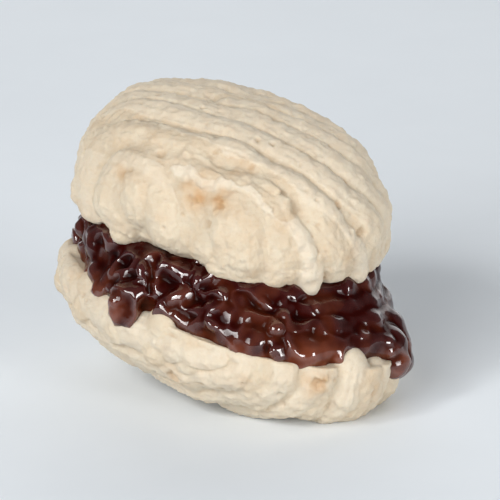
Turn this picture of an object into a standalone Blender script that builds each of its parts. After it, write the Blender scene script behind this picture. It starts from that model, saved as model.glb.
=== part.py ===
"""A piped butter biscuit sandwich: two ridged shells of pale dough, baked flat on one side, stuck
flat side to flat side with a thick layer of chocolate that has oozed out along the near edge.

It lies as it does on a plate: ridged back of the lower shell down, on the patch where the dough is worn
flat. X runs along the biscuit, +X towards the end that dips, Z up, and the origin is on the table under
the middle of the whole. Lengths are in metres.
"""

import math
import random
from dataclasses import dataclass

import bmesh
import bpy
from mathutils import Matrix, Vector

MM = 0.001


@dataclass(frozen=True)
class Ridge:
    """A ridge of piped dough that follows a path over the dome of a shell.

    Each place of the path is its angle round from +X and its angle down from the top, in degrees. The
    widths are those at both ends, and a positive rise lifts it proud of its neighbours half way along.
    """

    path: tuple
    widths: tuple
    rise: float


def ridge(path, widths, rise=0.0):
    return Ridge(path, tuple(width * MM for width in widths), rise * MM)


@dataclass(frozen=True)
class Knob:
    """A lump at the rim: its angle, its thickness and how far it stands up or hangs down."""

    angle: float
    width: float
    height: float


def knob(degrees, width, height):
    return Knob(math.radians(degrees), width * MM, height * MM)


@dataclass(frozen=True)
class Shell:
    """One piped half as it lies on the baking sheet: flat face at z = 0, ridges above.

    The crown is the highest point, as shares of the half length and half width. A squareness of 1 makes
    the dome a plain ball, less makes it steeper at the sides. The crags are small stubs along a rough
    seam.
    """

    length: float
    width: float
    height: float
    squareness: float
    crown: Vector
    ridges: tuple
    knobs: tuple
    crags: int
    seed: int


# Two lobes under an arch at the fat end of the upper shell, and the ring that goes round them.
FAT_END = (
    ridge(((-110, 62), (-112, 72), (-112, 82), (-107, 88)), (4.6, 4.8), 1.1),
    ridge(((-96, 61), (-91, 69), (-88, 78), (-86, 84)), (4.4, 4.2), 0.6),
    ridge(((-102, 62), (-99, 72), (-98, 80)), (5.6, 4.4), 0.9),
    ridge(((-114, 74), (-111, 62), (-103, 56), (-95, 57), (-89, 66)), (3.0, 3.0), 0.6),
    ridge(
        ((-128, 90), (-132, 82), (-133, 70), (-129, 57), (-115, 43), (-96, 36), (-75, 34))
        + ((-56, 33), (-42, 41), (-30, 51), (-20, 66), (-10, 80), (0, 91)),
        (4.2, 3.0),
        0.3,
    ),
)
# The seam, which ends in a pointed tip, and what hangs from it down to the rim.
SEAM = (
    ridge(((-88, 48), (-74, 50), (-63, 52), (-53, 55), (-44, 64), (-35, 76), (-28, 91)), (3.2, 2.8), 0.5),
    ridge(((-78, 58), (-74, 69), (-70, 77), (-67, 83)), (5.4, 5.6), -0.7),
    ridge(((-60, 58), (-58, 68), (-56, 78), (-54, 89)), (6.6, 8.6), 1.2),
    ridge(((-46, 64), (-42, 76), (-39, 89)), (4.8, 5.4), 0.6),
    ridge(((-26, 64), (-19, 77), (-14, 88)), (4.8, 5.2), 0.4),
    ridge(((-8, 62), (3, 76), (10, 90)), (4.6, 4.6), 0.3),
)
# The long ridges over the back of the upper shell.
BACK = (
    ridge(
        ((-144, 90), (-144, 75), (-146, 60), (-148, 46), (-138, 30), (-114, 18), (-68, 14))
        + ((-36, 19), (-24, 30), (-15, 44), (-7, 60), (6, 76), (16, 90)),
        (4.6, 4.0),
    ),
    ridge(
        ((-160, 90), (-160, 68), (-158, 44), (-150, 20), (-92, 4), (3, 8))
        + ((4, 20), (4, 32), (8, 46), (17, 62), (26, 90)),
        (4.6, 4.0),
    ),
    ridge(((60, 4), (32, 14), (28, 28), (26, 42), (29, 58), (33, 74), (38, 90)), (3.4, 4.2)),
    ridge(
        ((-176, 90), (-176, 65), (-178, 40), (165, 18), (93, 7), (62, 15))
        + ((53, 28), (45, 40), (46, 56), (48, 72), (52, 90)),
        (4.8, 4.2),
    ),
    ridge(((168, 90), (166, 65), (158, 40), (128, 22), (86, 20), (66, 34), (62, 58), (66, 90)), (4.8, 4.4)),
    ridge(((152, 90), (149, 64), (134, 40), (104, 32), (82, 44), (78, 66), (80, 90)), (4.8, 4.4)),
    ridge(((137, 90), (132, 68), (117, 50), (99, 54), (94, 70), (94, 90)), (4.8, 4.4)),
    ridge(((122, 90), (117, 74), (110, 72), (107, 90)), (4.8, 4.4)),
)
UPPER_SHELL = Shell(
    length=38.6 * MM,
    width=32.0 * MM,
    height=14.6 * MM,
    squareness=0.72,
    crown=Vector((-0.24, -0.10)),
    ridges=FAT_END + SEAM + BACK,
    knobs=(
        knob(-130, 3.6, 0.5),
        knob(-107, 4.0, 0.7),
        knob(-63, 3.0, 0.4),
        knob(-42, 4.2, 0.9),
        knob(-27, 2.6, 1.4),
        knob(0, 2.6, 0.9),
    ),
    crags=18,
    seed=3,
)

# The lower shell's long ridges start side by side near the -X end, run over its back and turn down to
# the rim round the +X end. Each one's flank is also the angle at which it meets the rim.
LENGTHWISE_FLANKS = (-84, -67, -50, -34, -17, 0, 17, 34, 50, 67, 84)
LENGTHWISE_WIDTH = 3.9
LENGTHWISE_SWELL = 1.3  # how many times wider they are where they start
LENGTHWISE_PLACES = 9
LENGTHWISE_START = math.radians(-70.0)
LENGTHWISE_END = math.radians(70.0)  # how far towards the +X end they would lie if they didn't turn
LENGTHWISE_TURN = 0.45  # the share of their way after which they turn down to the rim
BELOW_RIM = 101.0  # past the widest line, so that the cut for the flat face goes through them
LOWER_LOBES = (
    ridge(((8, 55), (8, 80), (8, 100)), (4.6, 6.4), 0.3),
    ridge(((30, 58), (30, 80), (30, 96)), (4.4, 6.0)),
    ridge(((52, 64), (52, 80), (52, 100)), (4.4, 6.0)),
    ridge(((76, 66), (76, 80), (76, 100)), (4.2, 5.6)),
    ridge(((-14, 58), (-14, 80), (-14, 100)), (4.4, 6.0)),
    ridge(((-36, 60), (-36, 80), (-36, 100)), (4.2, 5.6)),
)
LOWER_KNOBS = (
    knob(16, 5.2, 1.9),
    knob(2, 4.0, 0.6),
    knob(88, 4.6, 1.7),
    knob(104, 3.6, 0.6),
    knob(124, 4.2, 0.8),
    knob(150, 4.2, 0.7),
    knob(-60, 4.4, 0.8),
)

# How the sandwich lies. Dip lowers the +X end of a flat face, lean lowers its -Y side.
LOWER_FACE_HEIGHT = 10.8 * MM
LOWER_DIP = math.radians(11.0)
LOWER_LEAN = math.radians(-6.0)
UPPER_DIP = math.radians(8.4)
UPPER_LEAN = math.radians(-1.6)
CHOCOLATE_DEPTH = 7.5 * MM
UPPER_SHIFT = Vector((-2.2 * MM, 1.9 * MM, 0.0))

# The dome of a shell, and the relief on it.
BELLY = 1.4 * MM  # height of the widest line of a shell above its flat face
VALLEY = 1.0 * MM  # how deep the valleys between ridges can be
EAVES = 3.4 * MM  # height above the flat face from which the dough draws in under the ridges
UNDERCUT = 2.6 * MM  # how far it has drawn in at the flat face
RIDGE_STEPS = 5  # from each place of a path to the next
RIDGE_FULLNESS = 0.6  # the radius of a ridge as a share of its width
KNOB_STEPS = 5
KNOB_ROOT = 3.5 * MM  # how deep in the shell a knob starts
CRAG_FLANK = math.radians(-44.0)  # the angle from the top, towards -Y, on which the seam runs
CRAG_SPAN = (math.radians(-38.0), math.radians(42.0))
CRAG_SCATTER = math.radians(6.0)
CRAG_RADII = (0.8 * MM, 1.4 * MM)
CRAG_REACH = 0.9 * MM

# The chocolate. Its edge is a stack of lumpy ropes, each at a share of the way up from the lower face.
ROPES = (0.12, 0.36, 0.58, 0.78)
LUMPS = 44
LUMP_RADIUS = 1.8 * MM
LUMP_SPREAD = 0.45 * MM
OOZE_SIDE = math.radians(-40.0)  # the side on which most of it is squeezed out
ROPE_INSET_OOZED = (1.5 * MM, 3.1 * MM)  # behind the rims on that side, at the bottom and at the top
ROPE_INSET_HELD = 3.9 * MM  # and on the other side
CORE_INSET_OOZED = 2.8 * MM
CORE_INSET_HELD = 4.2 * MM
CORE_REACH = 0.65  # half the height of the core as a share of the gap, so that it enters both shells
BEADS = 90
BEAD_RADII = (0.7 * MM, 1.3 * MM)
BEAD_SHARES = (0.05, 0.8)
BEAD_INSET_OOZED = (0.5 * MM, 2.2 * MM)
BEAD_INSET_HELD = 3.2 * MM
DRIPS = (
    knob(-102, 4.4, 0.6),
    knob(13, 4.4, 0.8),
    knob(25, 5.6, 1.7),
)
DRIP_STEPS = 6
DRIP_ROOT = 3.4 * MM  # how far behind the rim a drip starts
DRIP_RISE = 1.5 * MM  # and how far above it
DRIP_SINK = 0.32  # how deep it lies behind the rim at its end, as a share of its width
CHOCOLATE_SEED = 5

CLEARANCE = 0.3 * MM  # left between the chocolate and the dough, which touch in the real biscuit
FUSING_CELL = 0.4 * MM  # the cell in which overlapping strands become one solid
WELD = 0.01 * MM

TIP_STEPS = 4
TUBE_RESOLUTION = 4
SHELL_TRIANGLES = 4700
CHOCOLATE_TRIANGLES = 3600

DOUGH_COLOUR = (0.72, 0.58, 0.41)
CHOCOLATE_COLOUR = (0.045, 0.012, 0.007)


def clear_scene():
    """Removes every object, so that the script builds the same thing wherever it is run."""
    for obj in list(bpy.data.objects):
        bpy.data.objects.remove(obj, do_unlink=True)


def new_collection(name):
    collection = bpy.data.collections.new(name)
    bpy.context.scene.collection.children.link(collection)
    return collection


def principled(name, colour, roughness):
    """A Principled material of one colour."""
    material = bpy.data.materials.new(name)
    material.use_nodes = True
    shader = material.node_tree.nodes["Principled BSDF"]
    shader.inputs["Base Color"].default_value = (*colour, 1.0)
    shader.inputs["Roughness"].default_value = roughness
    shader.inputs["Metallic"].default_value = 0.0
    return material


def mix(low, high, t):
    return low + (high - low) * t


def squared(value, squareness):
    """A sine or cosine pushed towards 1, which turns an ellipse into a rounder box."""
    return math.copysign(abs(value) ** squareness, value)


def unit(flank, along):
    """A direction from the middle of the dome: flank is its angle from the top, along its angle to +X."""
    across = math.cos(along)
    return Vector((math.sin(along), across * math.sin(flank), across * math.cos(flank)))


def on_dome(shell, direction, depth):
    """The point of the dome in a direction from its middle, sunk below the crests by depth."""
    out = squared(math.hypot(direction.x, direction.y), shell.squareness)
    angle = math.atan2(direction.y, direction.x)
    x = out * math.cos(angle) + (1 - out) * shell.crown.x
    y = out * math.sin(angle) + (1 - out) * shell.crown.y
    z = squared(direction.z, shell.squareness)
    return Vector(
        (
            (shell.length / 2 - depth) * x,
            (shell.width / 2 - depth) * y,
            BELLY + (shell.height - BELLY - depth) * z,
        )
    )


def over_dome(angle, down):
    """The direction at an angle round from +X and an angle down from the top, both in degrees."""
    around = math.radians(angle)
    fall = math.radians(down)
    return Vector((math.sin(fall) * math.cos(around), math.sin(fall) * math.sin(around), math.cos(fall)))


def smooth_between(before, start, end, after, t):
    """The point at share t between start and end, on a smooth curve through all four points."""
    bend = 2 * before - 5 * start + 4 * end - after
    twist = -before + 3 * start - 3 * end + after
    return 0.5 * (2 * start + (end - before) * t + bend * t**2 + twist * t**3)


def directions_along(path):
    """The directions from the middle of the dome along a path."""
    ends = [over_dome(*place) for place in path]
    ends = [2 * ends[0] - ends[1], *ends, 2 * ends[-1] - ends[-2]]
    for k in range(1, len(ends) - 2):
        for step in range(RIDGE_STEPS):
            yield smooth_between(*ends[k - 1 : k + 3], step / RIDGE_STEPS).normalized()
    yield ends[-2]


def ridge_strand(shell, item):
    """One ridge as (points, radii)."""
    points = []
    radii = []
    directions = list(directions_along(item.path))
    for k, direction in enumerate(directions):
        t = k / (len(directions) - 1)
        radius = RIDGE_FULLNESS * mix(*item.widths, t)
        points.append(on_dome(shell, direction, radius - item.rise * math.sin(math.pi * t) ** 0.5))
        radii.append(radius)
    return points, radii


def lengthwise_ridge(degrees):
    """One long ridge of the lower shell, on that flank and to that angle of the rim."""
    path = []
    rim = over_dome(degrees, BELOW_RIM)
    for k in range(LENGTHWISE_PLACES):
        t = k / (LENGTHWISE_PLACES - 1)
        ahead = unit(math.radians(degrees), mix(LENGTHWISE_START, LENGTHWISE_END, t))
        turned = max(0.0, (t - LENGTHWISE_TURN) / (1 - LENGTHWISE_TURN)) ** 1.5
        direction = ahead.lerp(rim, turned).normalized()
        angle = math.degrees(math.atan2(direction.y, direction.x))
        path.append((angle, math.degrees(math.acos(direction.z))))
    return ridge(tuple(path), (LENGTHWISE_SWELL * LENGTHWISE_WIDTH, LENGTHWISE_WIDTH))


LOWER_SHELL = Shell(
    length=43.6 * MM,
    width=33.0 * MM,
    height=11.9 * MM,
    squareness=0.90,
    crown=Vector((0.32, -0.55)),
    ridges=tuple(lengthwise_ridge(flank) for flank in LENGTHWISE_FLANKS) + LOWER_LOBES,
    knobs=LOWER_KNOBS,
    crags=0,
    seed=8,
)


def rim_knob(shell, item):
    """One lump as (points, radii), from inside the shell out past the flat face."""
    points = []
    radii = []
    radius = 0.5 * item.width
    direction = Vector((math.cos(item.angle), math.sin(item.angle), 0.0))
    for k in range(KNOB_STEPS):
        t = k / (KNOB_STEPS - 1)
        point = on_dome(shell, direction, radius)
        point.z = mix(KNOB_ROOT, radius - item.height, t)
        points.append(point)
        radii.append(radius)
    return points, radii


def crags(shell, draw):
    """The rough seam along the front edge of the long ridges: a row of small stubs."""
    for k in range(shell.crags):
        along = mix(*CRAG_SPAN, k / (shell.crags - 1))
        flank = CRAG_FLANK + draw.uniform(-CRAG_SCATTER, CRAG_SCATTER)
        radius = draw.uniform(*CRAG_RADII)
        start = on_dome(shell, unit(flank, along), 0.9 * radius)
        lean = Vector((draw.uniform(-1, 1), draw.uniform(-1, 0.4), 0.5)) * CRAG_REACH
        yield [start, start + 0.5 * lean, start + lean], [radius, radius, 0.8 * radius]


def add_ring(curve, points, radii):
    """Adds one closed rope to a curve."""
    spline = curve.splines.new("POLY")
    spline.points.add(len(points) - 1)
    spline.use_cyclic_u = True
    for target, point, size in zip(spline.points, points, radii):
        target.co = (*point, 1.0)
        target.radius = size / MM


def add_strand(curve, points, radii):
    """Adds one strand of dough or chocolate to a curve, with both ends rounded."""
    onwards = (points[-1] - points[-2]).normalized()
    backwards = (points[0] - points[1]).normalized()
    ends = list(zip(points, radii))
    last, last_radius = ends[-1]
    first, first_radius = ends[0]
    for k in range(1, TIP_STEPS + 1):
        turn = 0.5 * math.pi * k / (TIP_STEPS + 0.3)
        ends.append((last + onwards * last_radius * math.sin(turn), last_radius * math.cos(turn)))
        ends.insert(0, (first + backwards * first_radius * math.sin(turn), first_radius * math.cos(turn)))
    spline = curve.splines.new("POLY")
    spline.points.add(len(ends) - 1)
    for target, (point, size) in zip(spline.points, ends):
        target.co = (*point, 1.0)
        target.radius = size / MM


def strands_mesh(name, strands, rings=()):
    """One mesh of closed tubes, one for each strand or ring given as (points, radii)."""
    curve = bpy.data.curves.new(name, "CURVE")
    curve.dimensions = "3D"
    curve.bevel_depth = MM
    curve.bevel_resolution = TUBE_RESOLUTION
    curve.use_fill_caps = True
    for points, radii in strands:
        add_strand(curve, points, radii)
    for points, radii in rings:
        add_ring(curve, points, radii)
    holder = bpy.data.objects.new(name, curve)
    bpy.context.scene.collection.objects.link(holder)
    bpy.context.view_layer.update()
    graph = bpy.context.evaluated_depsgraph_get()
    mesh = bpy.data.meshes.new_from_object(holder.evaluated_get(graph))
    bpy.data.objects.remove(holder, do_unlink=True)
    work = bmesh.new()
    work.from_mesh(mesh)
    bmesh.ops.remove_doubles(work, verts=work.verts, dist=WELD)
    work.to_mesh(mesh)
    work.free()
    return mesh


def add_heart(work, shell):
    """Adds the solid heart of a shell to a bmesh: a ball drawn out to the depth of the valleys."""
    heart = bmesh.ops.create_uvsphere(work, u_segments=64, v_segments=32, radius=1.0)
    for vertex in heart["verts"]:
        point = on_dome(shell, vertex.co.normalized(), VALLEY)
        drawn_in = UNDERCUT * max(0.0, 1 - point.z / EAVES) ** 2
        point.x *= 1 - 2 * drawn_in / shell.length
        point.y *= 1 - 2 * drawn_in / shell.width
        vertex.co = point


def cut_flat(mesh):
    """Cuts away all that lies below z = 0 and closes the cut."""
    work = bmesh.new()
    work.from_mesh(mesh)
    everything = list(work.verts) + list(work.edges) + list(work.faces)
    cut = bmesh.ops.bisect_plane(
        work, geom=everything, dist=0.1 * WELD, plane_co=(0, 0, 0), plane_no=(0, 0, 1), clear_inner=True
    )
    edges = [item for item in cut["geom_cut"] if isinstance(item, bmesh.types.BMEdge)]
    bmesh.ops.edgeloop_fill(work, edges=edges)
    work.to_mesh(mesh)
    work.free()


def fused(name, mesh, swelling=0.0):
    """The mesh with its overlapping shapes fused into one closed skin, swollen first if asked to."""
    holder = bpy.data.objects.new(name, mesh)
    bpy.context.scene.collection.objects.link(holder)
    if swelling:
        swell = holder.modifiers.new("Swell", "DISPLACE")
        swell.mid_level = 0.0
        swell.strength = swelling
    fuse = holder.modifiers.new("Fuse", "REMESH")
    fuse.mode = "VOXEL"
    fuse.voxel_size = FUSING_CELL
    bpy.context.view_layer.update()
    graph = bpy.context.evaluated_depsgraph_get()
    result = bpy.data.meshes.new_from_object(holder.evaluated_get(graph))
    bpy.data.objects.remove(holder, do_unlink=True)
    return result


def shell_mesh(name, shell):
    """The mesh of one half in its own frame: heart and ridges fused, and cut flat at z = 0."""
    draw = random.Random(shell.seed)
    strands = [ridge_strand(shell, item) for item in shell.ridges]
    strands += crags(shell, draw)
    mesh = strands_mesh(name, strands)
    work = bmesh.new()
    work.from_mesh(mesh)
    add_heart(work, shell)
    work.to_mesh(mesh)
    work.free()
    mesh = fused(name, mesh)
    cut_flat(mesh)
    if not shell.knobs:
        return mesh
    lumps = strands_mesh(name + "_knobs", [rim_knob(shell, item) for item in shell.knobs])
    work = bmesh.new()
    work.from_mesh(mesh)
    work.from_mesh(lumps)
    work.to_mesh(mesh)
    work.free()
    bpy.data.meshes.remove(lumps)
    return fused(name, mesh)


def add_object(name, mesh, material, collection):
    obj = bpy.data.objects.new(name, mesh)
    mesh.materials.clear()
    mesh.materials.append(material)
    collection.objects.link(obj)
    return obj


def thin_out(obj, triangles):
    """Leaves about that many triangles, small ones on the ridges and large ones where the shape is flat."""
    faces = sum(len(polygon.vertices) - 2 for polygon in obj.data.polygons)
    decimate = obj.modifiers.new("Thin out", "DECIMATE")
    decimate.ratio = min(1.0, triangles / faces)
    decimate.use_collapse_triangulate = True


def lower_face():
    """The plane of the lower shell's flat face, which dips towards +X."""
    tilt = Matrix.Rotation(LOWER_DIP, 4, "Y") @ Matrix.Rotation(LOWER_LEAN, 4, "X")
    return Matrix.Translation((0.0, 0.0, LOWER_FACE_HEIGHT)) @ tilt


def upper_face():
    """The plane of the upper shell's flat face, on top of the chocolate."""
    tilt = Matrix.Rotation(UPPER_DIP, 4, "Y") @ Matrix.Rotation(UPPER_LEAN, 4, "X")
    height = Vector((0.0, 0.0, LOWER_FACE_HEIGHT + CHOCOLATE_DEPTH))
    return Matrix.Translation(UPPER_SHIFT + height) @ tilt


def inside_rim(shell, angle, inset):
    """A point of a flat face, that far inside its rim."""
    x = math.cos(angle) * (shell.length / 2 - inset)
    y = math.sin(angle) * (shell.width / 2 - inset)
    return Vector((x, y, 0.0))


def between_faces(angle, inset, share):
    """A point in the chocolate: its share of the way up, and its inset from the rims of the two shells."""
    lower = lower_face() @ inside_rim(LOWER_SHELL, angle, inset)
    upper = upper_face() @ inside_rim(UPPER_SHELL, angle, inset)
    return lower.lerp(upper, share)


def oozing(angle):
    """How far the chocolate is squeezed out at that angle, from 0 to 1."""
    return (0.5 + 0.5 * math.cos(angle - OOZE_SIDE)) ** 0.7


def held_back(angle):
    """How far the chocolate stays behind the knobs on the rim of the lower shell at that angle."""
    back = 0.0
    for item in LOWER_SHELL.knobs:
        reach = item.width / (LOWER_SHELL.length / 2)
        apart = math.remainder(angle + item.angle, 2 * math.pi)
        back += 0.7 * item.height * math.exp(-((apart / reach) ** 2))
    return back


def chocolate_rope(share, draw):
    """One lumpy rope of chocolate round the edge, as (points, radii)."""
    points = []
    radii = []
    for k in range(LUMPS):
        angle = 2 * math.pi * (k + draw.uniform(-0.3, 0.3)) / LUMPS
        radii.append(LUMP_RADIUS * draw.uniform(0.72, 1.22))
        inset = mix(ROPE_INSET_HELD, mix(*ROPE_INSET_OOZED, share), oozing(angle))
        inset += draw.uniform(-LUMP_SPREAD, LUMP_SPREAD) + held_back(angle) * (1 - share)
        point = between_faces(angle, inset, share)
        point.z += draw.uniform(-LUMP_SPREAD, LUMP_SPREAD)
        points.append(point)
    return points, radii


def bead(draw):
    """One small lump on the outside of the chocolate, as (points, radii)."""
    angle = draw.uniform(-math.pi, math.pi)
    share = draw.uniform(*BEAD_SHARES)
    radius = draw.uniform(*BEAD_RADII)
    inset = mix(BEAD_INSET_HELD, mix(*BEAD_INSET_OOZED, share), oozing(angle))
    middle = between_faces(angle, inset + held_back(angle), share)
    reach = Vector((draw.uniform(-1, 1), draw.uniform(-1, 1), draw.uniform(-0.5, 0.5))) * radius
    return [middle, middle + 0.5 * reach, middle + reach], [radius, radius, 0.8 * radius]


def drip(item):
    """One run of chocolate over the rim of the lower shell, as (points, radii)."""
    points = []
    radii = []
    for k in range(DRIP_STEPS):
        t = k / (DRIP_STEPS - 1)
        turn = t * math.pi / 2
        point = between_faces(item.angle, mix(DRIP_ROOT, DRIP_SINK * item.width, math.sin(turn)), 0.0)
        point.z += DRIP_RISE * math.cos(turn) - item.height * (1 - math.cos(turn))
        points.append(point)
        radii.append(0.5 * item.width * mix(0.8, 1.0, t))
    return points, radii


def add_core(work):
    """Adds the solid middle of the chocolate to a bmesh, a drum that reaches into both flat faces."""
    drum = bmesh.ops.create_cone(
        work, cap_ends=True, cap_tris=False, segments=64, radius1=1.0, radius2=1.0, depth=2.0
    )
    for vertex in drum["verts"]:
        angle = math.atan2(vertex.co.y, vertex.co.x)
        inset = mix(CORE_INSET_HELD, CORE_INSET_OOZED, oozing(angle))
        vertex.co = between_faces(angle, inset, 0.5 + CORE_REACH * vertex.co.z)


def largest_body(mesh):
    """Drops every loose scrap and keeps the body with most vertices."""
    work = bmesh.new()
    work.from_mesh(mesh)
    seen = set()
    bodies = []
    for start in work.verts:
        if start in seen:
            continue
        body = []
        front = [start]
        seen.add(start)
        while front:
            vertex = front.pop()
            body.append(vertex)
            for edge in vertex.link_edges:
                other = edge.other_vert(vertex)
                if other not in seen:
                    seen.add(other)
                    front.append(other)
        bodies.append(body)
    bodies.sort(key=len)
    for body in bodies[:-1]:
        bmesh.ops.delete(work, geom=body, context="VERTS")
    work.to_mesh(mesh)
    work.free()


def build_lower(material, collection):
    """The lower shell, turned over, ridges down, and worn flat where it rests on the table at z = 0."""
    mesh = shell_mesh("lower_biscuit", LOWER_SHELL)
    mesh.transform(lower_face() @ Matrix.Rotation(math.pi, 4, "X"))
    cut_flat(mesh)
    obj = add_object("lower_biscuit", mesh, material, collection)
    thin_out(obj, SHELL_TRIANGLES)
    return obj


def build_upper(material, collection):
    mesh = shell_mesh("upper_biscuit", UPPER_SHELL)
    mesh.transform(upper_face())
    obj = add_object("upper_biscuit", mesh, material, collection)
    thin_out(obj, SHELL_TRIANGLES)
    return obj


def build_chocolate(material, collection, cutters, shells):
    """The chocolate between the shells, cut back from both of them by the clearance."""
    draw = random.Random(CHOCOLATE_SEED)
    rings = [chocolate_rope(share, draw) for share in ROPES]
    strands = [drip(item) for item in DRIPS] + [bead(draw) for _ in range(BEADS)]
    mesh = strands_mesh("chocolate_filling", strands, rings)
    work = bmesh.new()
    work.from_mesh(mesh)
    add_core(work)
    work.to_mesh(mesh)
    work.free()
    obj = add_object("chocolate_filling", fused("chocolate_filling", mesh), material, collection)
    for shell_object in shells:
        name = "room_for_" + shell_object.name
        cutter = bpy.data.objects.new(name, fused(name, shell_object.data.copy(), CLEARANCE))
        cutter.hide_render = True
        cutter.display_type = "WIRE"
        cutters.objects.link(cutter)
        cut = obj.modifiers.new(name, "BOOLEAN")
        cut.operation = "DIFFERENCE"
        cut.object = cutter
    bpy.context.view_layer.update()
    graph = bpy.context.evaluated_depsgraph_get()
    mesh = bpy.data.meshes.new_from_object(obj.evaluated_get(graph))
    obj.modifiers.clear()
    mesh = fused("chocolate_filling_cut", mesh)
    largest_body(mesh)
    obj.data = mesh
    thin_out(obj, CHOCOLATE_TRIANGLES)
    return obj


def settle(objects):
    """Applies the modifiers, then moves the whole to stand on z = 0 with its box centred on the origin."""
    bpy.context.view_layer.update()
    graph = bpy.context.evaluated_depsgraph_get()
    meshes = [bpy.data.meshes.new_from_object(obj.evaluated_get(graph)) for obj in objects]
    places = [vertex.co for mesh in meshes for vertex in mesh.vertices]
    low = [min(place[axis] for place in places) for axis in range(3)]
    high = [max(place[axis] for place in places) for axis in range(3)]
    shift = Vector((-0.5 * (low[0] + high[0]), -0.5 * (low[1] + high[1]), -low[2]))
    for obj, mesh in zip(objects, meshes):
        mesh.transform(Matrix.Translation(shift))
        mesh.name = obj.name
        obj.modifiers.clear()
        obj.data = mesh


def main():
    clear_scene()
    biscuit = new_collection("filled_butter_biscuit")
    cutters = new_collection("cutters")
    dough = principled("baked_dough", DOUGH_COLOUR, 0.85)
    chocolate = principled("dark_chocolate", CHOCOLATE_COLOUR, 0.18)
    lower = build_lower(dough, biscuit)
    upper = build_upper(dough, biscuit)
    filling = build_chocolate(chocolate, biscuit, cutters, (lower, upper))
    settle((lower, upper, filling))


main()
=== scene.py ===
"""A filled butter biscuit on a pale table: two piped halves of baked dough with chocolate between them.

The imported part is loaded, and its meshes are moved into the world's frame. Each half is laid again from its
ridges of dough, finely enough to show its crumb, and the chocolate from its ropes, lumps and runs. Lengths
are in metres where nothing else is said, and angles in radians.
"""

import logging
import math
import random
from collections.abc import Iterator
from contextlib import contextmanager
from dataclasses import dataclass, field
from enum import Enum
from typing import NamedTuple

import bpy
from mathutils import Matrix, Vector, kdtree, noise


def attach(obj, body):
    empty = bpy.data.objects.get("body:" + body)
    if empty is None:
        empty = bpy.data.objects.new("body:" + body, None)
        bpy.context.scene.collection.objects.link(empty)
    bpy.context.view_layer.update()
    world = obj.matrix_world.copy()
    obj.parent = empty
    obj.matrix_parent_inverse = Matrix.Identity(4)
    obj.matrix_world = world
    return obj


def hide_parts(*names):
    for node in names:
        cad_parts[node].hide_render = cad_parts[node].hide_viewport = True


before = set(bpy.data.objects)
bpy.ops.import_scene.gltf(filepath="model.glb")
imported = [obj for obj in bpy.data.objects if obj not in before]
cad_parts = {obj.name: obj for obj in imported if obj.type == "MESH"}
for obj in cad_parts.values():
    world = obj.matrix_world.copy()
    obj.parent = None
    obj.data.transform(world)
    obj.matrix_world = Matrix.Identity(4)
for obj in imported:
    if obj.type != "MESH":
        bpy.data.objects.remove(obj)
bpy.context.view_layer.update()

LOG = logging.getLogger("biscuit")
MM = 0.001
BELLY = 1.4 * MM  # height of the widest line of a half above its flat face
VALLEY = 1.0 * MM  # depth of the heart of a half below the crests of its ridges
EAVES = 3.4 * MM  # height above the flat face from which the heart draws in
UNDERCUT = 2.6 * MM  # how far it has drawn in at the flat face
SETTLED = Vector((-0.293 * MM, -0.539 * MM, 0.0))  # from where the biscuit is laid out to the part's frame
NOISE_GAIN = 1.6  # brings smooth noise to about -1 and 1
OTHER_LAYER = 7.0  # where in the noise the tears of the crests are taken from, away from the drawn lines
TIP_OPENING = 0.3  # how much of a step a round tip stops short of its point
WELD = 0.01 * MM  # points of a cord that lie nearer than this are one
FUSED = 0.6  # radius of a ridge's strand as a share of its width, past 0.5 so that neighbours fuse
PORE_END = 1.6 * MM  # no pore reaches further than this from its middle
FULL_PORE = 0.3 * MM  # depth from which a pore has its full colour, the painted shade in its pit
PATCH_END = 2.2  # where a dark patch ends, as a share of its radius
TURN = 0.45  # share of the way at which a lengthwise ridge begins to turn down to the rim
DRIP_INSET = 0.32  # how far inside the lower rim a run of chocolate hangs, as a share of its width


def mix(low: float, high: float, t: float) -> float:
    """Returns the value that lies at share t of the way from low to high."""
    return low + (high - low) * t


def clamp(value: float) -> float:
    """Returns the value held between 0 and 1."""
    return min(1.0, max(0.0, value))


def bell(value: float, width: float) -> float:
    """Returns 1 where the value is 0, and ever less the further it goes past the width on either side."""
    return math.exp(-((value / width) ** 2))


def squared(value: float, squareness: float) -> float:
    """Returns a sine or cosine pushed towards 1, which turns an ellipse into a rounder box."""
    return math.copysign(abs(value) ** squareness, value)


def over_dome(angle: float, down: float) -> Vector:
    """Returns the direction at an angle round from +X and an angle down from the top, both in degrees."""
    around, fall = math.radians(angle), math.radians(down)
    return Vector((math.sin(fall) * math.cos(around), math.sin(fall) * math.sin(around), math.cos(fall)))


def over_length(along: float, flank: float) -> Vector:
    """Returns the direction at an angle from the top towards +X and an angle down the +Y side, in degrees."""
    ahead, side = math.radians(along), math.radians(flank)
    return Vector((math.sin(ahead), math.cos(ahead) * math.sin(side), math.cos(ahead) * math.cos(side)))


def smooth_between(four: list[Vector], t: float) -> Vector:
    """Finds a point on a smooth curve through four points.

    Args:
        four: The points.
        t: The share of the way from the second point to the third.

    Returns:
        The point.
    """
    before, start, end, after = four
    bend = 2 * before - 5 * start + 4 * end - after
    twist = -before + 3 * start - 3 * end + after
    return 0.5 * (2 * start + (end - before) * t + bend * t**2 + twist * t**3)


def wave(point: Vector, length: float) -> float:
    """Returns smooth noise between about -1 and 1 whose waves are that long."""
    return noise.noise(point / length) * NOISE_GAIN


# --- hand tools -------------------------------------------------------------------------------------------


def pick(obj: bpy.types.Object) -> None:
    """Selects one object alone and makes it the active one.

    Args:
        obj: The object.
    """
    bpy.ops.object.select_all(action="DESELECT")
    obj.select_set(True)
    bpy.context.view_layer.objects.active = obj


@contextmanager
def editing(obj: bpy.types.Object) -> Iterator[None]:
    """Opens an object in edit mode with all of it selected, and leaves edit mode at the end.

    Args:
        obj: The object.

    Yields:
        Nothing, once, while the object is open.
    """
    pick(obj)
    bpy.ops.object.mode_set(mode="EDIT")
    bpy.ops.mesh.select_all(action="SELECT")
    yield
    bpy.ops.object.mode_set(mode="OBJECT")


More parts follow.
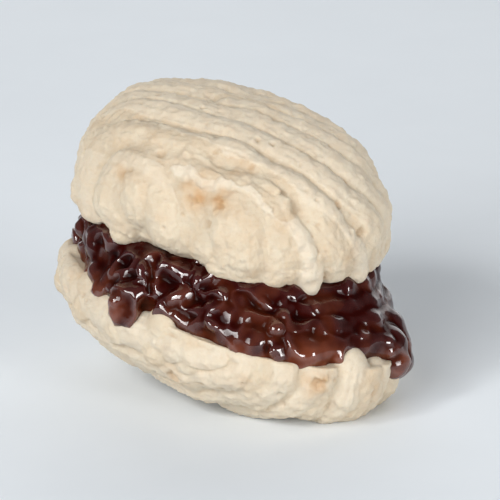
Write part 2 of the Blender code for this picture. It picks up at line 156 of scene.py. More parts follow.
def finish_with(obj: bpy.types.Object, kind: str, **settings: object) -> None:
    """Adds a modifier and applies it.

    Args:
        obj: The object that gets it.
        kind: The modifier's type, such as "REMESH".
        **settings: Its properties by name.
    """
    pick(obj)
    modifier = obj.modifiers.new(kind.title(), kind)
    for key, value in settings.items():
        setattr(modifier, key, value)
    bpy.ops.object.modifier_apply(modifier=modifier.name)


def join(parts: list[bpy.types.Object]) -> bpy.types.Object:
    """Joins several objects into the first one.

    Args:
        parts: The objects.

    Returns:
        The first of them, which now holds them all.
    """
    bpy.ops.object.select_all(action="DESELECT")
    for part in parts:
        part.select_set(True)
    bpy.context.view_layer.objects.active = parts[0]
    bpy.ops.object.join()
    return parts[0]


def tree_of(points: list[Vector]) -> kdtree.KDTree:
    """Sorts some points into a search tree.

    Args:
        points: The points.

    Returns:
        The tree, which gives each point's number in the list.
    """
    tree = kdtree.KDTree(len(points))
    for index, point in enumerate(points):
        tree.insert(point, index)
    tree.balance()
    return tree


def skin(obj: bpy.types.Object) -> tuple[list[Vector], list[Vector]]:
    """Reads all vertices of an object at one go.

    Args:
        obj: The object.

    Returns:
        Their places and the directions in which the surface faces there.
    """
    numbers = [0.0] * (3 * len(obj.data.vertices))
    obj.data.vertices.foreach_get("co", numbers)
    places = [Vector(numbers[k : k + 3]) for k in range(0, len(numbers), 3)]
    obj.data.vertex_normals.foreach_get("vector", numbers)
    return places, [Vector(numbers[k : k + 3]) for k in range(0, len(numbers), 3)]


def move_skin(obj: bpy.types.Object, places: list[Vector]) -> None:
    """Moves all vertices of an object to new places at one go."""
    obj.data.vertices.foreach_set("co", [number for place in places for number in place])
    obj.data.update()


def press_flat(obj: bpy.types.Object) -> None:
    """Presses all of an object that lies below z = 0 up against that plane."""
    move_skin(obj, [Vector((place.x, place.y, max(0.0, place.z))) for place in skin(obj)[0]])


def write_masks(obj: bpy.types.Object, masks: dict[str, list[float]]) -> None:
    """Keeps masks on the vertices of an object, for its material to read by their names.

    Args:
        obj: The object.
        masks: The value of each mask at each vertex.
    """
    for name, values in masks.items():
        layer = obj.data.attributes.new(name, "FLOAT", "POINT")
        layer.data.foreach_set("value", values)


def settle(piece: bpy.types.Object, name: str) -> None:
    """Moves a finished piece to the part's frame, names it and shades it smooth.

    Args:
        piece: The piece.
        name: Its new name.
    """
    piece.data.transform(Matrix.Translation(SETTLED))
    piece.name = name
    pick(piece)
    bpy.ops.object.shade_smooth()


def deliver(piece: bpy.types.Object, node: str, material: bpy.types.Material) -> None:
    """Dresses a finished piece, puts it in the place of its node and reports it.

    Args:
        piece: The piece.
        node: The part's node that it stands for.
        material: Its material.
    """
    piece.data.materials.clear()
    piece.data.materials.append(material)
    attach(piece, "root")
    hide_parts(node)
    triangles = sum(len(face.vertices) - 2 for face in piece.data.polygons)
    LOG.info("%s stands for %s with %d triangles", piece.name, node, triangles)


# --- strands ----------------------------------------------------------------------------------------------


@dataclass(frozen=True)
class Strand:
    """A round cord of dough or chocolate.

    Attributes:
        points: What its middle runs through.
        radii: Its radius at each of them.
        closed: Whether it runs back into its own start.
        crest: How sharp a crest the nozzle left along its top, from 0 to 1.
    """

    points: list[Vector]
    radii: list[float]
    closed: bool = False
    crest: float = 0.0

    def rounded(self, steps: int = 5) -> "Strand":
        """Gives the strand a round tip at both ends.

        Args:
            steps: How many steps each tip is made of.

        Returns:
            The rounded strand, or the strand itself where it is closed.
        """
        if self.closed:
            return self
        onwards = (self.points[-1] - self.points[-2]).normalized()
        backwards = (self.points[0] - self.points[1]).normalized()
        points = list(self.points)
        radii = list(self.radii)
        for k in range(1, steps + 1):
            turn = 0.5 * math.pi * k / (steps + TIP_OPENING)
            points.append(self.points[-1] + onwards * self.radii[-1] * math.sin(turn))
            radii.append(self.radii[-1] * math.cos(turn))
            points.insert(0, self.points[0] + backwards * self.radii[0] * math.sin(turn))
            radii.insert(0, self.radii[0] * math.cos(turn))
        return Strand(points, radii)


def lump(start: Vector, reach: Vector, radius: float, taper: tuple[float, float, float]) -> Strand:
    """Shapes one short strand for a lump.

    Args:
        start: Where it begins.
        reach: From there to where it ends.
        radius: How thick it is.
        taper: The share of that radius at its start, middle and end.

    Returns:
        The strand.
    """
    return Strand([start, start + 0.5 * reach, start + reach], [share * radius for share in taper])


def lay(name: str, strands: list[Strand], resolution: int = 6) -> bpy.types.Object:
    """Lays strands as cords and turns them into one mesh of closed tubes.

    Args:
        name: The name of the new object.
        strands: What to lay.
        resolution: How finely each cord is rounded.

    Returns:
        The mesh object.
    """
    bpy.ops.object.select_all(action="DESELECT")
    bpy.ops.curve.primitive_nurbs_path_add(radius=MM)
    cords = bpy.context.object
    cords.name = name
    cords.data.splines.clear()
    cords.data.bevel_depth = MM
    cords.data.bevel_resolution = resolution
    cords.data.use_fill_caps = True
    for strand in strands:
        whole = strand.rounded()
        spline = cords.data.splines.new("POLY")
        spline.points.add(len(whole.points) - 1)
        spline.use_cyclic_u = whole.closed
        for target, point, radius in zip(spline.points, whole.points, whole.radii):
            target.co = (*point, 1.0)
            target.radius = radius / MM
    pick(cords)
    bpy.ops.object.convert(target="MESH")
    with editing(cords):
        bpy.ops.mesh.remove_doubles(threshold=WELD)
    return cords


class Lie(NamedTuple):
    """How a point lies on a strand.

    Attributes:
        along: How far along the strand it lies.
        across: How far to the side of the strand's middle line.
        crest: How much of a crest the strand has.
        radius: The strand's radius there.
    """

    along: float
    across: float
    crest: float
    radius: float


class Grain:
    """The run of the dough: for any point near a set of strands, how far along and across it lies.

    Attributes:
        places: Places along the middle lines of the strands.
        notes: The strand's heading there, the length so far, its crest and its radius.
        tree: The search tree of the places.
    """

    def __init__(self, strands: list[Strand], parts: int = 3, offset: float = 10.0 * MM) -> None:
        """Notes the middle line of every strand, with its heading, its length so far and its crest.

        Args:
            strands: The strands.
            parts: How many places are noted on each stretch of a strand.
            offset: What is added to the length from strand to strand, so that no two carry the same marks.
        """
        self.places: list[Vector] = []
        self.notes: list[tuple[Vector, float, float, float]] = []
        for number, strand in enumerate(strands):
            run = offset * number
            for k in range(len(strand.points) - 1):
                step = strand.points[k + 1] - strand.points[k]
                heading = step.normalized()
                for part in range(parts):
                    along = run + step.length * part / parts
                    self.places.append(strand.points[k] + step * part / parts)
                    self.notes.append((heading, along, strand.crest, strand.radii[k]))
                run += step.length
        self.tree = tree_of(self.places)

    def at(self, point: Vector, outward: Vector) -> Lie:
        """Finds how a point lies on the nearest strand.

        Args:
            point: The point.
            outward: The way that the surface faces there.

        Returns:
            How it lies.
        """
        place, index, _ = self.tree.find(point)
        heading, run, crest, radius = self.notes[index]
        offset = point - place
        side = heading.cross(outward).normalized()
        return Lie(run + offset.dot(heading), offset.dot(side), crest, radius)


# --- the two halves ---------------------------------------------------------------------------------------


class Back(Enum):
    """Which way the ridged back of a half faces."""

    UP = "up"
    DOWN = "down"


@dataclass(frozen=True)
class Ridge:
    """A ridge of piped dough that follows a path over the dome of a half.

    Attributes:
        path: Where it runs, each place as its angle from +X and its angle down from the top, in degrees.
        widths: Its width at both ends, in millimetres.
        rise: How far it stands proud of its neighbours half way along, in millimetres.
        crest: How sharp a crest the nozzle left along its top, from 0 to 1.
    """

    path: tuple[tuple[float, float], ...]
    widths: tuple[float, float]
    rise: float = 0.0
    crest: float = 0.7

    def directions(self, steps: int = 10) -> list[Vector]:
        """Follows the path in even steps.

        Args:
            steps: How many steps each stretch of the path is cut into.

        Returns:
            The directions from the dome's middle to each place on it.
        """
        ends = [over_dome(angle, down) for angle, down in self.path]
        ends = [2 * ends[0] - ends[1], *ends, 2 * ends[-1] - ends[-2]]
        found = []
        for k in range(1, len(ends) - 2):
            for step in range(steps):
                found.append(smooth_between(ends[k - 1 : k + 3], step / steps).normalized())
        return [*found, ends[-2]]


@dataclass(frozen=True)
class Knob:
    """A lump at a rim, in degrees and millimetres.

    Attributes:
        angle: Its place round the rim, from +X.
        width: How thick it is.
        height: How far it stands up or hangs down.
    """

    angle: float
    width: float
    height: float


@dataclass(frozen=True)
class Spot:
    """A place on the back of a half, in degrees and millimetres.

    Attributes:
        angle: Its angle from +X.
        down: Its angle down from the top.
        radius: How far it reaches.
        strength: How deep a pore is in millimetres, or how strongly a patch is baked, from 0 to 1.
    """

    angle: float
    down: float
    radius: float
    strength: float


@dataclass(frozen=True)
class Seam:
    """A rough seam along the front edge of the long ridges, a row of small stubs.

    Attributes:
        crags: How many stubs there are.
        ends: From where to where it runs along the half, in degrees from the top towards +X.
        flank: How far down the side it lies, in degrees.
        stray: How far each stub strays from that, in degrees.
        radii: The thinnest and the thickest stub, in millimetres.
        sunk: How deep a stub's middle lies below the crests, as a share of its radius.
        lean: How far the stubs lean, in millimetres.
        ahead: How much of that goes towards +X, the least and the most.
        aside: How much goes towards +Y.
        up: How much goes up.
        taper: The share of a stub's radius at its start, middle and end.
    """

    crags: int = 18
    ends: tuple[float, float] = (-38.0, 42.0)
    flank: float = -44.0
    stray: float = 6.0
    radii: tuple[float, float] = (0.8, 1.4)
    sunk: float = 0.95
    lean: float = 0.9
    ahead: tuple[float, float] = (0.4, 2.2)
    aside: tuple[float, float] = (-1.0, 0.4)
    up: float = 0.4
    taper: tuple[float, float, float] = (0.7, 0.9, 0.5)


@dataclass(frozen=True)
class Tilt:
    """How a flat face lies, in degrees.

    Attributes:
        dip: How far its +X end is lowered.
        lean: How far its -Y side is lowered.
    """

    dip: float
    lean: float

    def matrix(self) -> Matrix:
        """Returns the turn as a 4x4 matrix."""
        dip = Matrix.Rotation(math.radians(self.dip), 4, "Y")
        return dip @ Matrix.Rotation(math.radians(self.lean), 4, "X")


@dataclass(frozen=True)
class Crumb:
    """The fine relief of baked dough, in millimetres.

    Attributes:
        swell: The height of its slow waves, and their length.
        streak: The depth of the lines that the nozzle drew along the ridges.
        streak_size: The width and the length of those lines.
        crest: The height of the torn crests.
        crest_width: How far to each side they reach.
        tear_size: The width and the length of the tears in them.
        torn: What is left of them on the average, and how far that goes up and down, as shares.
        tooth: The height of its coarse grain, and its size.
        grain: The height of its fine grain, and its size.
        rim: The share of the relief that is left at the flat face, and how far up it is full.
        pores: How many pores are scattered over it.
        pore_radii: The smallest and the largest of them.
        pore_depth: Their depth as a share of their radius.
        pore_edge: How ragged a pore's edge is, as a share of its radius, and how long its waves are.
        patch_edge: How uneven a dark patch is, as a share of its strength, and how long its waves are.
        highlight_width: How far to each side of a crest its painted highlight reaches.
        valley_reach: How far from a ridge's middle the painted shade of the valley is full, as a share of its
            strand's radius.
    """

    swell: tuple[float, float] = (0.30, 4.5)
    streak: float = 0.07
    streak_size: tuple[float, float] = (0.42, 5.0)
    crest: float = 0.24
    crest_width: float = 0.5
    tear_size: tuple[float, float] = (1.2, 1.1)
    torn: tuple[float, float] = (0.55, 0.9)
    tooth: tuple[float, float] = (0.11, 0.95)
    grain: tuple[float, float] = (0.06, 0.42)
    rim: tuple[float, float] = (0.35, 0.8)
    pores: int = 170
    pore_radii: tuple[float, float] = (0.18, 0.4)
    pore_depth: float = 0.6
    pore_edge: tuple[float, float] = (0.35, 0.5)
    patch_edge: tuple[float, float] = (0.8, 1.1)
    highlight_width: float = 0.45
    valley_reach: float = 0.75

    def height(self, point: Vector, lie: Lie) -> float:
        """Works out how far the relief stands out at a point.

        Args:
            point: The point.
            lie: How it lies on its strand.

        Returns:
            The height in metres.
        """
        wide, long = self.streak_size
        lines = Vector((lie.across / (wide * MM), lie.along / (long * MM), 0.0))
        wide, long = self.tear_size
        tears = Vector((lie.along / (long * MM), lie.across / (wide * MM), OTHER_LAYER))
        torn = self.torn[0] + self.torn[1] * noise.noise(tears)
        height = self.swell[0] * wave(point, self.swell[1] * MM)
        height += self.streak * wave(lines, 1.0)
        height += self.crest * bell(lie.across, self.crest_width * MM) * lie.crest * torn
        height += self.tooth[0] * wave(point, self.tooth[1] * MM)
        height += self.grain[0] * wave(point, self.grain[1] * MM)
        return height * MM * mix(self.rim[0], 1.0, clamp(point.z / (self.rim[1] * MM)))


Mark = tuple[Vector, float, float]  # a spot's middle on a half, its radius in millimetres and its strength


@dataclass
class PipedHalf:
    """One half of the biscuit, piped in ridges and baked flat side down.

    Attributes:
        node: The part's node that it stands for.
        length: Its length.
        width: Its width.
        height: How high its back rises over its flat face.
        squareness: 1 makes its dome a plain ball, less makes it steeper at the sides.
        crown: The highest point, as shares of the half length and half width.
        ridges: The ridges that cover it.
        knobs: The lumps that stand past the flat face.
        pores: Its largest pores.
        patches: Where it is baked darker.
        seed: Where its chances start.
        back: Which way its ridged back faces.
        tilt: How its flat face lies.
        place: The middle of its flat face.
        seam: Its rough seam, where it has one.
        cell: How finely its strands are fused.
        crumb: Its fine relief.
    """

    node: str
    length: float
    width: float
    height: float
    squareness: float
    crown: tuple[float, float]
    ridges: list[Ridge]
    knobs: list[Knob]
    pores: list[Spot]
    patches: list[Spot]
    seed: int
    back: Back
    tilt: Tilt
    place: Vector
    seam: Seam | None = None
    cell: float = 0.2 * MM
    crumb: Crumb = field(default_factory=Crumb)

    def on_dome(self, direction: Vector, depth: float) -> Vector:
        """Finds a point of the dome.

        Args:
            direction: Its direction from the dome's middle.
            depth: How far below the crests it is sunk.

        Returns:
            The point in the half's own frame.
        """
        out = squared(math.hypot(direction.x, direction.y), self.squareness)
        angle = math.atan2(direction.y, direction.x)
        x = (self.length / 2 - depth) * (out * math.cos(angle) + (1 - out) * self.crown[0])
        y = (self.width / 2 - depth) * (out * math.sin(angle) + (1 - out) * self.crown[1])
        z = BELLY + (self.height - BELLY - depth) * squared(direction.z, self.squareness)
        return Vector((x, y, z))

    def face(self) -> Matrix:
        """Returns the plane of the flat face, from the half's own frame to the whole biscuit's."""
        return Matrix.Translation(self.place) @ self.tilt.matrix()

    def ridge(self, item: Ridge) -> Strand:
        """Lays one ridge over the dome.

        Args:
            item: The ridge.

        Returns:
            Its strand.
        """
        directions = item.directions()
        points, radii = [], []
        for k, direction in enumerate(directions):
            t = k / (len(directions) - 1)
            radius = FUSED * mix(*item.widths, t) * MM
            depth = radius - item.rise * math.sin(math.pi * t) ** 0.5 * MM
            points.append(self.on_dome(direction, depth))
            radii.append(radius)
        return Strand(points, radii, crest=item.crest)

    def knob(self, item: Knob, root: float = 3.5 * MM, steps: int = 5) -> Strand:
        """Lays one knob, from inside the half out past its flat face.

        Args:
            item: The knob.
            root: How high over the flat face it starts.
            steps: How many places its strand has.

        Returns:
            Its strand.
        """
        radius = 0.5 * item.width * MM
        angle = math.radians(item.angle)
        points = []
        for k in range(steps):
            point = self.on_dome(Vector((math.cos(angle), math.sin(angle), 0.0)), radius)
            point.z = mix(root, radius - item.height * MM, k / (steps - 1))
            points.append(point)
        return Strand(points, [radius] * steps)

    def stubs(self, draw: random.Random) -> list[Strand]:
        """Lays the stubs of the rough seam.

        Args:
            draw: Where the chances come from.

        Returns:
            A strand for each, or none where the half has no seam.
        """
        if self.seam is None:
            return []
        seam, found = self.seam, []
        for k in range(seam.crags):
            along = mix(*seam.ends, k / (seam.crags - 1))
            flank = seam.flank + draw.uniform(-seam.stray, seam.stray)
            radius = draw.uniform(*seam.radii) * MM
            start = self.on_dome(over_length(along, flank), seam.sunk * radius)
            lean = Vector((draw.uniform(*seam.ahead), draw.uniform(*seam.aside), seam.up)) * seam.lean * MM
            radii = [share * radius for share in seam.taper]
            found.append(Strand([start - 0.5 * lean, start, start + lean], radii))
        return found

    def heart(self) -> bpy.types.Object:
        """Makes the solid heart, a ball drawn out to the depth of the valleys and in under the ridges.

        Returns:
            The heart in the half's own frame.
        """
        bpy.ops.object.select_all(action="DESELECT")
        bpy.ops.mesh.primitive_uv_sphere_add(segments=96, ring_count=48, radius=1.0)
        heart = bpy.context.object
        for vertex in heart.data.vertices:
            point = self.on_dome(vertex.co.normalized(), VALLEY)
            drawn_in = UNDERCUT * max(0.0, 1 - point.z / EAVES) ** 2
            point.x *= 1 - 2 * drawn_in / self.length
            point.y *= 1 - 2 * drawn_in / self.width
            vertex.co = point
        return heart

    def shape(self, strands: list[Strand]) -> bpy.types.Object:
        """Fuses the strands, the heart and the knobs, and cuts them flat.

        Args:
            strands: The ridges and stubs.

        Returns:
            The half in its own frame, flat face at z = 0.
        """
        dough = join([lay(self.node + "_dough", strands), self.heart()])
        finish_with(dough, "REMESH", mode="VOXEL", voxel_size=self.cell)
        press_flat(dough)
        dough = join([dough, lay(self.node + "_knobs", [self.knob(item) for item in self.knobs])])
        finish_with(dough, "REMESH", mode="VOXEL", voxel_size=self.cell)
        finish_with(dough, "SMOOTH", factor=0.5, iterations=3)
        return dough

    def marked(self, spots: list[Spot], depth: float) -> list[Mark]:
        """Finds where spots lie on the half.

        Args:
            spots: The spots.
            depth: How far below the crests their middles are sunk.

        Returns:
            The middle, radius and strength of each.
        """
        marks = []
        for item in spots:
            marks.append((self.on_dome(over_dome(item.angle, item.down), depth), item.radius, item.strength))
        return marks

    def pore_depths(self, places: list[Vector], draw: random.Random) -> list[float]:
        """Works out how deep the pores are.

        Args:
            places: The places to work it out for, all on the surface.
            draw: Where the chances come from.

        Returns:
            The depth at each place, in metres.
        """
        pores = self.marked(self.pores, depth=0.3 * MM)
        for _ in range(self.crumb.pores):
            radius = mix(*self.crumb.pore_radii, draw.random() ** 2)
            pores.append((places[draw.randrange(len(places))], radius, self.crumb.pore_depth * radius))
        tree = tree_of([place for place, _, _ in pores])
        ragged, length = self.crumb.pore_edge
        depths = []
        for point in places:
            deepest = 0.0
            for _, index, distance in tree.find_range(point, PORE_END):
                _, radius, depth = pores[index]
                edge = radius * MM * (1.0 + ragged * wave(point, length * MM))
                if distance < edge:
                    deepest = max(deepest, depth * (1 - (distance / edge) ** 2) ** 1.5)
            depths.append(deepest * MM)
        return depths

    def toast(self, point: Vector, patches: list[Mark]) -> float:
        """Works out how dark a place is baked.

        Args:
            point: The place.
            patches: Where the darker patches lie.

        Returns:
            The shade, from 0 to 1.
        """
        ragged, length = self.crumb.patch_edge
        most = 0.0
        for middle, radius, strength in patches:
            away, reach = (point - middle).length, radius * MM
            if away < PATCH_END * reach:
                shade = strength * bell(away, reach)
                most = max(most, shade * (1.0 + ragged * wave(point, length * MM)))
        return clamp(most)

    def crumble(self, dough: bpy.types.Object, strands: list[Strand], draw: random.Random) -> None:
        """Gives the half its fine relief, and the masks that its colour follows, with its painted shade and
        painted highlight.

        Args:
            dough: The half in its own frame.
            strands: What it was piped from.
            draw: Where the chances come from.
        """
        grain = Grain(strands)
        places, normals = skin(dough)
        depths = self.pore_depths(places, draw)
        patches = self.marked(self.patches, depth=0.4 * MM)
        masks: dict[str, list[float]] = {"valley": [], "crest": [], "toast": [], "pore": []}
        moved = []
        for point, outward, pore in zip(places, normals, depths):
            lie = grain.at(point, outward)
            moved.append(point + outward * (self.crumb.height(point, lie) - pore))
            # painted shade: the valley mask, which grows away from the middle of each ridge
            masks["valley"].append(clamp(abs(lie.across) / (self.crumb.valley_reach * lie.radius)) ** 2)
            # painted highlight: a line along the middle of each crested ridge
            masks["crest"].append(lie.crest * bell(lie.across, self.crumb.highlight_width * MM))
            masks["toast"].append(self.toast(point, patches))
            # painted shade: the pore mask, which grows with a pore's depth
            masks["pore"].append(clamp(pore / FULL_PORE))
        move_skin(dough, moved)
        write_masks(dough, masks)

    def build(self) -> bpy.types.Object:
        """Pipes the half, bakes it and lays it in its place.

        Returns:
            The finished mesh object.
        """
        draw = random.Random(self.seed)
        strands = [self.ridge(item) for item in self.ridges] + self.stubs(draw)
        dough = self.shape(strands)
        self.crumble(dough, strands, draw)
        over = Matrix.Rotation(math.pi, 4, "X") if self.back is Back.DOWN else Matrix.Identity(4)
        dough.data.transform(self.face() @ over)
        if self.back is Back.DOWN:
            press_flat(dough)
        settle(dough, self.node + "_baked")
        return dough

    def dress(self, piece: bpy.types.Object, material: bpy.types.Material) -> None:
        """Gives the baked half its finish and puts it in the place of its node."""
        deliver(piece, self.node, material)


UPPER = PipedHalf(
    node="upper_biscuit",
    length=38.6 * MM,
    width=32.0 * MM,
    height=14.6 * MM,
    squareness=0.72,
    crown=(-0.24, -0.10),
    ridges=[
        # the fat end: two lobes under an arch, and the ring that goes round them and on to the tail
        Ridge(((-110, 62), (-112, 72), (-112, 82), (-107, 88)), (4.6, 4.8), 1.1, crest=0.1),
        Ridge(((-96, 61), (-91, 69), (-88, 78), (-86, 84)), (4.4, 4.2), 0.6, crest=0.1),
        Ridge(((-102, 62), (-99, 72), (-98, 80)), (5.6, 4.4), 0.9, crest=0.0),
        Ridge(((-114, 74), (-111, 62), (-103, 56), (-95, 57), (-89, 66)), (3.0, 3.0), 0.6, crest=0.5),
        Ridge(
            ((-128, 90), (-132, 82), (-133, 70), (-129, 57), (-115, 43), (-96, 36), (-75, 34))
            + ((-56, 33), (-42, 41), (-30, 51), (-20, 66), (-10, 80), (0, 91)),
            (4.2, 3.0),
            0.3,
        ),
        # the seam, which ends in a pointed tip, and what hangs from it down to the rim
        Ridge(
            ((-88, 48), (-74, 50), (-63, 52), (-53, 55), (-44, 64), (-35, 76), (-28, 91)),
            (3.2, 2.8),
            0.5,
            crest=1.0,
        ),
        Ridge(((-78, 58), (-74, 69), (-70, 77), (-67, 83)), (5.4, 5.6), -0.7, crest=0.0),
        Ridge(((-60, 58), (-58, 68), (-56, 78), (-54, 89)), (6.6, 8.6), 1.2, crest=0.0),
        Ridge(((-46, 64), (-42, 76), (-39, 89)), (4.8, 5.4), 0.6, crest=0.2),
        Ridge(((-26, 64), (-19, 77), (-14, 88)), (4.8, 5.2), 0.4, crest=0.2),
        Ridge(((-8, 62), (3, 76), (10, 90)), (4.6, 4.6), 0.3, crest=0.4),
        # the long ridges over the back
        Ridge(
            ((-144, 90), (-144, 75), (-146, 60), (-148, 46), (-138, 30), (-114, 18), (-68, 14))
            + ((-36, 19), (-24, 30), (-15, 44), (-7, 60), (6, 76), (16, 90)),
            (4.6, 4.0),
        ),
        Ridge(
            ((-160, 90), (-160, 68), (-158, 44), (-150, 20), (-92, 4), (3, 8))
            + ((4, 20), (4, 32), (8, 46), (17, 62), (26, 90)),
            (4.6, 4.0),
        ),
        Ridge(((60, 4), (32, 14), (28, 28), (26, 42), (29, 58), (33, 74), (38, 90)), (3.4, 4.2)),
        Ridge(
            ((-176, 90), (-176, 65), (-178, 40), (165, 18), (93, 7), (62, 15))
            + ((53, 28), (45, 40), (46, 56), (48, 72), (52, 90)),
            (4.8, 4.2),
        ),
        Ridge(
            ((168, 90), (166, 65), (158, 40), (128, 22), (86, 20), (66, 34), (62, 58), (66, 90)), (4.8, 4.4)
        ),
        Ridge(((152, 90), (149, 64), (134, 40), (104, 32), (82, 44), (78, 66), (80, 90)), (4.8, 4.4)),
        Ridge(((137, 90), (132, 68), (117, 50), (99, 54), (94, 70), (94, 90)), (4.8, 4.4)),
        Ridge(((122, 90), (117, 74), (110, 72), (107, 90)), (4.8, 4.4)),
    ],
    knobs=[
        Knob(-130, 3.6, 0.5),
        Knob(-107, 4.0, 0.7),
        Knob(-63, 3.0, 0.4),
        Knob(-42, 4.2, 0.9),
        Knob(-27, 2.6, 1.4),
        Knob(0, 2.6, 0.9),
    ],
    pores=[
        Spot(-67, 35, 0.6, 0.35),
        Spot(-56, 35, 0.5, 0.3),
        Spot(-117, 12, 0.5, 0.3),
        Spot(-34, 23, 0.5, 0.35),
        Spot(-27, 26, 0.5, 0.4),
        Spot(-14, 26, 0.5, 0.4),
        Spot(-14, 61, 0.6, 0.35),
        Spot(-5, 77, 0.6, 0.4),
        Spot(-101, 80, 0.55, 0.3),
        Spot(-92, 76, 0.55, 0.35),
        Spot(-108, 69, 0.7, 0.3),
        Spot(-128, 43, 0.6, 0.35),
        Spot(-116, 30, 0.6, 0.35),
        Spot(-102, 51, 0.6, 0.35),
        Spot(-94, 47, 0.6, 0.3),
        Spot(-49, 40, 0.6, 0.4),
        Spot(-45, 82, 0.6, 0.5),
        Spot(-60, 87, 0.5, 0.5),
        Spot(-26, 71, 0.6, 0.4),
        Spot(-69, 76, 0.7, 0.4),
        Spot(-64, 66, 1.1, 0.7),
        Spot(-76, 67, 0.8, 0.6),
    ],
    patches=[
        Spot(-65, 63, 1.3, 1.0),
        Spot(-75, 65, 1.3, 0.8),
        Spot(-79, 60, 1.0, 0.5),
        Spot(-106, 66, 1.3, 0.45),
        Spot(-58, 43, 1.6, 0.3),
        Spot(-71, 51, 1.2, 0.35),
        Spot(-42, 68, 1.4, 0.25),
        Spot(-128, 92, 1.6, 0.35),
        Spot(-12, 86, 1.6, 0.2),
        Spot(60, 80, 2.4, 0.4),
        Spot(150, 70, 2.4, 0.4),
    ],
    seed=3,
    back=Back.UP,
    tilt=Tilt(8.4, -1.6),
    place=Vector((-2.2 * MM, 1.9 * MM, 18.3 * MM)),
    seam=Seam(),
)


def lengthwise(flank: float, width: float = 3.9, stretches: int = 8) -> Ridge:
    """Leads a ridge lengthwise over the lower half and down to the rim at its tail.

    Args:
        flank: How far to the side of the top it runs, in degrees, and where it meets the rim.
        width: Its width at the rim, in millimetres. It starts wider.
        stretches: How many stretches its path has.

    Returns:
        The ridge.
    """
    path = []
    rim = over_dome(flank, 101.0)  # just past the rim, so that the ridge runs out at the flat face
    for k in range(stretches + 1):
        t = k / stretches
        turned = max(0.0, (t - TURN) / (1 - TURN)) ** 1.5
        place = over_length(mix(-70.0, 70.0, t), flank).lerp(rim, turned).normalized()
        path.append((math.degrees(math.atan2(place.y, place.x)), math.degrees(math.acos(place.z))))
    return Ridge(tuple(path), (1.3 * width, width))


LOWER = PipedHalf(
    node="lower_biscuit",
    length=43.6 * MM,
    width=33.0 * MM,
    height=11.9 * MM,
    squareness=0.90,
    crown=(0.32, -0.55),
    ridges=[lengthwise(flank) for flank in (-84, -67, -50, -34, -17, 0, 17, 34, 50, 67, 84)]
    + [
        Ridge(((8, 55), (8, 80), (8, 100)), (4.6, 6.4), 0.3, crest=0.2),
        Ridge(((30, 58), (30, 80), (30, 96)), (4.4, 6.0), crest=0.2),
        Ridge(((52, 64), (52, 80), (52, 100)), (4.4, 6.0), crest=0.2),
        Ridge(((76, 66), (76, 80), (76, 100)), (4.2, 5.6), crest=0.2),
        Ridge(((-14, 58), (-14, 80), (-14, 100)), (4.4, 6.0), crest=0.2),
        Ridge(((-36, 60), (-36, 80), (-36, 100)), (4.2, 5.6), crest=0.2),
    ],
    knobs=[
        Knob(16, 5.2, 1.9),
        Knob(2, 4.0, 0.6),
        Knob(88, 4.6, 1.7),
        Knob(104, 3.6, 0.6),
        Knob(124, 4.2, 0.8),
        Knob(150, 4.2, 0.7),
        Knob(-60, 4.4, 0.8),
    ],
    pores=[
        Spot(103, 56, 0.6, 0.45),
        Spot(82, 68, 0.9, 0.75),
        Spot(72, 70, 0.7, 0.5),
        Spot(65, 70, 0.6, 0.4),
        Spot(32, 89, 1.0, 0.7),
        Spot(7, 83, 0.7, 0.45),
        Spot(37, 68, 0.5, 0.3),
        Spot(45, 78, 0.5, 0.3),
        Spot(84, 101, 0.5, 0.3),
        Spot(118, 87, 0.5, 0.3),
    ],
    patches=[
        Spot(32, 89, 1.3, 0.8),
        Spot(128, 95, 2.2, 0.3),
        Spot(103, 98, 1.4, 0.25),
        Spot(7, 83, 1.5, 0.3),
        Spot(82, 67, 1.0, 0.6),
        Spot(58, 82, 1.4, 0.2),
        Spot(-60, 80, 2.5, 0.4),
        Spot(-120, 75, 2.5, 0.35),
    ],
    seed=8,
    back=Back.DOWN,
    tilt=Tilt(11.0, -6.0),
    place=Vector((0.0, 0.0, 10.8 * MM)),
)


# --- the chocolate ----------------------------------------------------------------------------------------


@dataclass(frozen=True)
class Clots:
    """The small lumps that stick in the chocolate's skin, in millimetres.

    Attributes:
        count: How many there are.
        spares: How many places are tried for each.
        smallest: The radius of the smallest.
        largest: The radius of the largest, where the chocolate is smooth and where it is broken up.
        sunk: How deep they start below the skin, the least and the most, as shares of their radius.
        reach: How long they are, as a share of their radius.
        taper: The share of that radius at their start, middle and end.
    """

    count: int = 150
    spares: int = 2
    smallest: float = 0.5
    largest: tuple[float, float] = (0.9, 1.5)
    sunk: tuple[float, float] = (0.4, 0.8)
    reach: float = 1.3
    taper: tuple[float, float, float] = (0.8, 1.0, 0.6)


@dataclass(frozen=True)
class Folds:
    """The folds of the chocolate's skin, in millimetres.

    Attributes:
        size: How far apart they lie.
        sharpness: How sharp their crests are.
        heights: Their height, where the chocolate is smooth and where it is broken up.
        ripple: How long the ripples on them are.
        ripple_heights: The height of the ripples, in the same two places.
    """

    size: float = 2.6
    sharpness: float = 2.6
    heights: tuple[float, float] = (0.08, 0.5)
    ripple: float = 0.8
    ripple_heights: tuple[float, float] = (0.01, 0.03)

    def height(self, point: Vector, broken: float) -> float:
        """Works out how far the skin stands out at a place.

        Args:
            point: The place.
            broken: How far the chocolate is broken up there, from 0 to 1.

        Returns:
            The height in millimetres.
        """
        fold = 1 - self.sharpness * abs(noise.noise(point / (self.size * MM)))
        ripple = wave(point, self.ripple * MM)
        return mix(*self.heights, broken) * fold + mix(*self.ripple_heights, broken) * ripple


